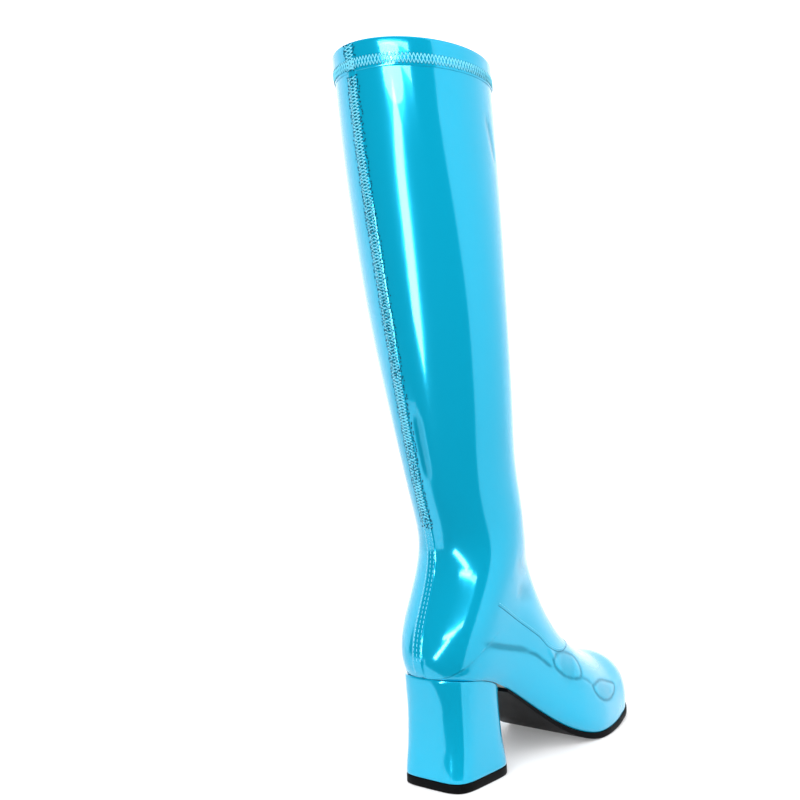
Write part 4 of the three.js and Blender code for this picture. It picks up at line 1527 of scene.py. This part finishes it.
class Sole(Piece):
    """The black outsole from the breast to the toe."""

    STATIONS = 150
    BEND = ((0.0, 0.35), (0.12, 0.1), (0.4, 0.0), (0.75, 0.03), (0.9, 0.2), (0.97, 0.5), (1.0, 0.9))
    BOTTOM_STEPS = 8
    TOP_STEPS = 4
    FULL_WIDTH = 4.0
    LEAST_STATION = 0.3

    def _edge(self, place: float) -> tuple[float, float, float]:
        """Where the feather line is at a place: how far along, and its outer and inner side.

        Args:
            place: Where along the rows.

        Returns:
            The three distances.
        """
        s = self.last.section(place)
        angle, share = self.last.feather(s)
        sides = self.last.ring(s, np.array([-angle, angle]))
        along = s[FRONT_X] + (s[BACK_X] - s[FRONT_X]) * share
        return float(along), float(sides[0, 1]), float(sides[1, 1])

    def shell(self) -> Shell:
        """The sole's unit, with rounded edges.

        Returns:
            Its shell.
        """
        z = self.sizes
        toe = self.last.feather_end(0.0, -1.0)
        heel = self.last.feather_end(self.last.seam_start, self.last.seam_start + 4)
        shares = (1 - np.cos(np.pi * np.linspace(0, 1, self.STATIONS))) / 2
        edges = np.array([self._edge(toe + (heel - toe) * share) for share in shares])
        first, last_x = edges[0, 0], edges[-1, 0]
        middle = (first + last_x) / 2
        edges[:, 0] = middle + (edges[:, 0] - middle) * (1 + 2 * z.sole_margin / (first - last_x))
        start = z.breast + z.gap
        cut = np.array([np.interp(start, edges[::-1, 0], edges[::-1, k]) for k in range(3)])
        edges = np.vstack((edges[edges[:, 0] > start + self.LEAST_STATION], cut))
        rings = []
        for x, outer, inner in edges:
            top = float(self.last.sole_line(x)) - z.gap / 3
            share = float(smoothstep(x, z.breast, z.ball - z.flat_length / 2))
            thick = z.shank + (z.forepart - z.shank) * share
            low, high = outer - z.sole_margin, inner + z.sole_margin
            spare = min(1.0, (high - low) / self.FULL_WIDTH)
            down = [(low + back * spare, top - thick * at) for at, back in self.BEND]
            up = [(high - back * spare, top - thick * at) for at, back in reversed(self.BEND)]
            steps = self.BOTTOM_STEPS
            floor = [(low + (high - low) * k / steps, top - thick) for k in range(1, steps)]
            steps = self.TOP_STEPS
            inner_top = [(high + (low - high) * k / steps, top) for k in range(1, steps)]
            rings.append([(x, y, h) for y, h in down + floor + up + inner_top])
        return closed_rings(np.array(rings))

    def build(self, materials: Materials) -> list[bpy.types.Object]:
        """Makes the outsole.

        Args:
            materials: The boot's materials.

        Returns:
            The object, in a list.
        """
        sole = make_object("sole_unit", self.shell(), materials.by_slot[Slot.SOLE])
        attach(sole, "boot")
        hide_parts("outsole")
        return [sole]


class Zip(Piece):
    """Tape, coil, slider and pull on the inner side."""

    START = 0.4
    TAPE_STEP = 3.0
    TAPE_START, LEAST_TAPE = 0.2, 0.3
    FIRST_TOOTH = 3
    TAPE_ROW = ((-1.0, -1.75), (-1.0, -1.05), (-0.5, -1.0), (0.0, -1.0), (0.5, -1.0), (1.0, -1.05),
                (1.0, -1.75))
    PITCH = 1.5
    TOOTH = ((-0.7, 0.35), (-0.4, 0.75), (0.8, 0.85), (1.7, 0.8), (2.3, 0.7), (2.6, 0.3))
    TOOTH_SIDES, TOOTH_HALF, TOOTH_DEPTH = 6, 0.62, 0.9
    SLIDER_LENGTH = 11.0
    SLIDER_DROP = 2.5
    NECK = 1.6
    PLATE_FROM, PLATE_TO = 0.4, 1.4
    BAR, PLAY = 0.6, 0.15
    PIVOT = PLATE_TO + BAR * math.sqrt(2) + PLAY
    BRIDGE = 2 * PIVOT - PLATE_TO
    SLIDER = (
        ((-4.3, -5.5, PLATE_FROM), (4.3, 5.5, PLATE_TO), 0.35),
        ((-4.3, -5.5, -3.2), (4.3, 5.5, -2.2), 0.35),
        ((-1.3, 3.9, -3.0), (1.3, 5.5, PLATE_TO - 0.1), 0.2),
        ((-1.1, -4.0, BRIDGE), (1.1, 4.0, BRIDGE + 0.9), 0.3),
        ((-1.1, -4.0, PLATE_TO - 0.1), (1.1, -3.1, BRIDGE + 0.1), 0.1),
        ((-1.1, 3.1, PLATE_TO - 0.1), (1.1, 4.0, BRIDGE + 0.1), 0.1),
    )
    TAB_LENGTH, TAB_HALF, TAB_CORNER, TAB_STEPS = 24.0, 3.5, 0.3, 12
    WINDOW_HALF, WINDOW_HEIGHT = 1.7, 4.6
    BEVEL, BEVEL_STEPS, BEVEL_PROFILE = 0.22, 2, 0.6
    SHARP = 1.0

    def __init__(self, last: Last, sizes: Sizes) -> None:
        """Works out where the slider sits and where the chain ends.

        Args:
            last: The last.
            sizes: The boot's driving sizes.
        """
        super().__init__(last, sizes)
        top = float(last.zip_point(last.top)[2])
        self.slider_top = top - self.SLIDER_DROP
        self.chain_top = self.slider_top - self.NECK - sizes.gap

    def _frames(self, step: float) -> list[tuple[np.ndarray, ...]]:
        """The zip's axes at even steps from its lower end to the slider.

        Args:
            step: Length of a step.

        Returns:
            A point and three unit vectors for each.
        """
        low = self.sizes.zip_end + self.sizes.gap
        count = round((self.chain_top - low) / step)
        return [self.last.zip_axes(h) for h in np.linspace(low + self.START, self.chain_top, count)]

    def tape(self) -> Shell:
        """The two tapes as one strip with a shallow step at the coil.

        Returns:
            The strip, narrower at its round lower end.
        """
        frames = self._frames(self.TAPE_STEP)
        low = frames[0][0][2]
        half = self.sizes.slot_half - self.sizes.gap
        rings = []
        for point, _, across, out in frames:
            rise = min(half, point[2] - low + self.TAPE_START)
            width = max(self.LEAST_TAPE, math.sqrt(half**2 - (half - rise) ** 2))
            rings.append([point + across * a * width + out * d for a, d in self.TAPE_ROW])
        return grid_shell(np.array(rings), around=True)

    def coil(self) -> Shell:
        """Interlocking teeth, to the left and to the right in turn.

        Returns:
            All of them.
        """
        turns = 2 * math.pi * np.arange(self.TOOTH_SIDES) / self.TOOTH_SIDES
        frames = self._frames(self.PITCH / 2)[self.FIRST_TOOTH :]
        shells = []
        for i, (point, up, across, out) in enumerate(frames):
            side = 1 if i % 2 else -1
            rings = []
            for reach, high in self.TOOTH:
                centre = point + across * side * reach - out * self.TOOTH_DEPTH
                upwards = self.TOOTH_HALF * np.sin(turns)[:, None] * up
                rings.append(centre + upwards + high * np.cos(turns)[:, None] * out)
            shells.append(grid_shell(np.array(rings), around=True))
        return merge(shells)

    def _slider_axes(self) -> tuple[np.ndarray, ...]:
        """The slider's own axes.

        Returns:
            Its middle and three unit vectors: along the zip, across it and out of the wall.
        """
        return self.last.zip_axes(self.slider_top - self.SLIDER_LENGTH / 2)

    def _bevelled(self, work: bmesh.types.BMesh, edges: list, bevel: float, basis: np.ndarray,
                  origin: np.ndarray) -> Shell:
        """Rounds edges of a mesh and carries it into the last's axes.

        Args:
            work: The mesh; it is freed.
            edges: The edges to round.
            bevel: How much is taken off them.
            basis: The mesh's own axes.
            origin: Where its own origin lies.

        Returns:
            The mesh as a shell.
        """
        bmesh.ops.bevel(work, geom=edges, offset=bevel, segments=self.BEVEL_STEPS,
                        profile=self.BEVEL_PROFILE, affect="EDGES")
        work.verts.index_update()
        points = np.array([v.co for v in work.verts]) @ basis + origin
        shell = Shell(points, [tuple(v.index for v in face.verts) for face in work.faces])
        work.free()
        return shell

    def slider(self) -> Shell:
        """The slider: two plates, the neck and the bridge, with rounded edges.

        Returns:
            Its boxes as one shell.
        """
        point, up, across, out = self._slider_axes()
        basis = np.array([across, up, out])
        boxes = []
        for low, high, bevel in self.SLIDER:
            work = bmesh.new()
            bmesh.ops.create_cube(work, size=1.0)
            span = np.array(high) - np.array(low)
            for vert in work.verts:
                vert.co = Vector((np.array(vert.co) + 0.5) * span + np.array(low))
            boxes.append(self._bevelled(work, work.edges[:], bevel, basis, point))
        return merge(boxes)

    def pull(self) -> Shell:
        """The tab: a flat bar with a window at its top and a round end.

        Returns:
            Its shell, hanging.
        """
        point, _, across, out = self._slider_axes()
        up = unit(np.array([0, 0, 1.0]) - across * across[2])
        face = unit(np.cross(across, up))
        bar, half, corner, wide = self.BAR, self.TAB_HALF, self.TAB_CORNER, self.WINDOW_HALF
        outline = [(-half, bar - corner), (-half + corner, bar), (half - corner, bar), (half, bar - corner)]
        end = bar - self.TAB_LENGTH + half
        for k in range(self.TAB_STEPS + 1):
            turn = math.pi * k / self.TAB_STEPS
            outline.append((half * math.cos(turn), end - half * math.sin(turn)))
        foot = -(self.WINDOW_HEIGHT + bar)
        window = [(-wide, -bar), (wide, -bar), (wide, foot), (-wide, foot)]
        work = bmesh.new()
        rims = []
        for loop in (outline, window):
            verts = [work.verts.new((x, y, -bar)) for x, y in loop]
            rims += [work.edges.new((verts[i], verts[(i + 1) % len(verts)])) for i in range(len(verts))]
        bmesh.ops.triangle_fill(work, use_beauty=True, edges=rims)
        moved = bmesh.ops.extrude_face_region(work, geom=work.faces[:])
        for vert in [g for g in moved["geom"] if isinstance(g, bmesh.types.BMVert)]:
            vert.co.z = bar
        bmesh.ops.recalc_face_normals(work, faces=work.faces[:])
        sharp = [e for e in work.edges if len(e.link_faces) == 2 and e.calc_face_angle(0) > self.SHARP]
        basis = np.array([across, up, face])
        return self._bevelled(work, sharp, self.BEVEL, basis, point + out * self.PIVOT)

    def build(self, materials: Materials) -> list[bpy.types.Object]:
        """Makes the zip's pieces; the pull rides on its own body.

        Args:
            materials: The boot's materials.

        Returns:
            The objects.
        """
        tape, metal = materials.by_slot[Slot.TAPE], materials.by_slot[Slot.METAL]
        pieces = (
            ("zip_tape", self.tape(), tape, "zip_chain", Slot.TAPE, "boot"),
            ("zip_coil", self.coil(), tape, "zip_chain", Slot.TAPE, "boot"),
            ("zip_slide", self.slider(), metal, "zip_slider", Slot.METAL, "boot"),
            ("zip_tab", self.pull(), metal, "zip_pull", Slot.METAL, "zip_pull"),
        )
        objects = []
        for name, shell, material, node, slot, body in pieces:
            obj = make_object(name, shell, material, smooth=slot is not Slot.METAL)
            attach(obj, body)
            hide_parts(node)
            objects.append(obj)
        return objects


@dataclass(frozen=True)
class Lamp:
    """A soft light.

    It has a place, what it points at, its size in metres, how bright it is, how far it is tipped over in
    degrees, whether it shows in reflections, and whether it is oval.
    """

    name: str
    place: tuple[float, float, float]
    target: tuple[float, float, float]
    width: float
    height: float
    brightness: float
    tip: float = 0.0
    reflected: bool = True
    oval: bool = False


LAMPS = (
    Lamp("streak", (-1.08, -0.10, 0.285), (0, 0, 0.285), 0.15, 0.70, 18.0, tip=-42.0),
    Lamp("streak_funnel", (-1.03, -0.295, 0.60), (-0.12, -0.02, 0.475), 0.50, 0.12, 12.0, oval=True),
    Lamp("streak_top", (-1.00, -0.38, 0.66), (-0.12, -0.02, 0.495), 0.80, 0.08, 12.0),
    Lamp("key", (-1.1, -0.9, 1.5), (0, 0, 0.25), 1.2, 1.2, 3.2, reflected=False),
    Lamp("side_fill", (0.2, -1.5, 0.5), (0, 0, 0.1), 1.2, 1.0, 1.3, reflected=False),
)


class Studio:
    """Camera, pale tent and lights."""

    YAW, PITCH, ROLL = 40.667, 1.769, -2.635
    PLACE = (-0.62315, -0.52548, 0.29087)
    FOCAL_SHARE = 1209.9 / 800
    SENSOR = 36.0
    TENT_RADIUS = 1.7
    TENT_FROM, TENT_TO = -105.0, 115.0
    TENT_LEVELS = (-1.2, -0.6, 0.0, 0.6, 1.2, 1.9)
    TENT_ANGLES = 65
    CEILING_STEP = 5
    FLOOR = ((-0.75, 0.383), (-0.325, 0.138), (0.0, -0.215), (0.11, -0.245), (0.42, -0.36), (4.0, -1.69),
             (4.0, 4.0), (-0.75, 4.0))
    FLOOR_DROP = 0.0002
    DIM_SKY = (0.8, 0.9, 1.0, 1)
    DIM_STRENGTH = 0.12

    def camera(self) -> None:
        """The camera at the photo's own angle."""
        yaw, pitch, roll = (math.radians(a) for a in (self.YAW, self.PITCH, self.ROLL))
        ahead = Vector((math.cos(yaw) * math.cos(pitch), math.sin(yaw) * math.cos(pitch), -math.sin(pitch)))
        level = Vector((math.sin(yaw), -math.cos(yaw), 0))
        above = level.cross(ahead)
        right = math.cos(roll) * level + math.sin(roll) * above
        up = -math.sin(roll) * level + math.cos(roll) * above
        data = bpy.data.cameras.new("camera")
        data.sensor_width = self.SENSOR
        data.lens = self.SENSOR * self.FOCAL_SHARE
        camera = bpy.data.objects.new("camera", data)
        turn = Matrix((right, up, -ahead)).transposed().to_4x4()
        camera.matrix_world = Matrix.Translation(Vector(self.PLACE) + Vector(SHIFT * METRE)) @ turn
        bpy.context.scene.collection.objects.link(camera)
        bpy.context.scene.camera = camera

    @staticmethod
    def _pale(name: str, colour: float, glow: float) -> bpy.types.Material:
        """A pale matt material that glows a little.

        Args:
            name: Its name.
            colour: How pale it is.
            glow: How strongly it glows.

        Returns:
            The material.
        """
        material = bpy.data.materials.new(name)
        material.use_nodes = True
        set_inputs(material.node_tree.nodes["Principled BSDF"], {
            "Base Color": (colour, colour, colour * 1.01, 1), "Roughness": 0.9, "Specular IOR Level": 0.1,
            "Emission Color": (1, 1, 1, 1), "Emission Strength": glow})
        return material

    def tent(self) -> None:
        """A pale floor and ceiling, and a pale round wall on every side but the camera's."""
        rings = []
        for angle in np.radians(np.linspace(self.TENT_FROM, self.TENT_TO, self.TENT_ANGLES)):
            rings.append([(self.TENT_RADIUS * math.cos(angle), self.TENT_RADIUS * math.sin(angle), h)
                          for h in self.TENT_LEVELS])
        wall = grid_shell(np.array(rings) / METRE - SHIFT)
        flat = np.array([(x, y, -self.FLOOR_DROP) for x, y in self.FLOOR])
        turns = np.radians(np.arange(0, 360, self.CEILING_STEP))
        rim = np.column_stack((np.cos(turns), -np.sin(turns), 0 * turns)) * self.TENT_RADIUS
        above = rim + (0, 0, self.TENT_LEVELS[-1])
        floor, ceiling = (Shell(rim / METRE - SHIFT, [tuple(range(len(rim)))]) for rim in (flat, above))
        stage = [make_object("ceiling", ceiling, self._pale("ceiling_white", 0.5, 0.6)),
                 make_object("tent", wall, self._pale("tent_white", 0.5, 0.9)),
                 make_object("floor", floor, self._pale("floor_white", 0.8, 0.22))]

    def lights(self) -> None:
        """Soft lights, some of them only for the shading."""
        for lamp in LAMPS:
            data = bpy.data.lights.new(lamp.name, "AREA")
            data.shape = "ELLIPSE" if lamp.oval else "RECTANGLE"
            data.size, data.size_y = lamp.width, lamp.height
            data.energy = lamp.brightness * lamp.width * lamp.height * math.pi
            obj = bpy.data.objects.new(lamp.name, data)
            obj.location = lamp.place
            facing = (Vector(lamp.place) - Vector(lamp.target)).to_track_quat("Z", "Y")
            obj.rotation_euler = (facing @ Quaternion((0, 0, 1), math.radians(lamp.tip))).to_euler()
            obj.visible_glossy = lamp.reflected
            obj.visible_camera = False
            bpy.context.scene.collection.objects.link(obj)

    def world(self) -> None:
        """A world that is dim on the tent's open side, and plain white behind the boot."""
        world = bpy.data.worlds.new("studio")
        world.use_nodes = True
        nodes, links = world.node_tree.nodes, world.node_tree.links
        dim = nodes["Background"]
        kinds = ("Background", "MixShader", "LightPath")
        plain, choice, path = (nodes.new("ShaderNode" + kind) for kind in kinds)
        set_inputs(dim, {"Color": self.DIM_SKY, "Strength": self.DIM_STRENGTH})
        set_inputs(plain, {"Color": (1, 1, 1, 1)})
        links.new(path.outputs["Is Camera Ray"], choice.inputs["Fac"])
        links.new(dim.outputs["Background"], choice.inputs[1])
        links.new(plain.outputs["Background"], choice.inputs[2])
        links.new(choice.outputs["Shader"], nodes["World Output"].inputs["Surface"])
        bpy.context.scene.world = world
        bpy.context.scene.view_settings.view_transform = "Standard"

    def build(self) -> None:
        """Sets all of it up."""
        self.camera()
        self.tent()
        self.lights()
        self.world()


def dress_insole(materials: Materials) -> None:
    """Gives the part's own sock board its material.

    Args:
        materials: The boot's materials.
    """
    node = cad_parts["insole"]
    node.data.materials.clear()
    node.data.materials.append(materials.by_slot[Slot.SOCK])


def main() -> None:
    """Builds the looks and reports each piece."""
    logging.basicConfig(level=logging.INFO, format="%(name)s: %(message)s")
    materials = Materials()
    last = Last(SIZES)
    pieces, skin = Upper(last, SIZES).build(materials)
    collar, hem = Collar(last, SIZES).build(materials)
    pieces += collar
    pieces += Seams(last, SIZES, skin, hem).build(materials)
    pieces += Heel(last, SIZES).build(materials)
    pieces += Sole(last, SIZES).build(materials)
    pieces += Zip(last, SIZES).build(materials)
    dress_insole(materials)
    Studio().build()
    for piece in pieces:
        triangles = sum(len(face.vertices) - 2 for face in piece.data.polygons)
        LOG.info("%s: %d triangles", piece.name, triangles)


if __name__ == "__main__":
    main()
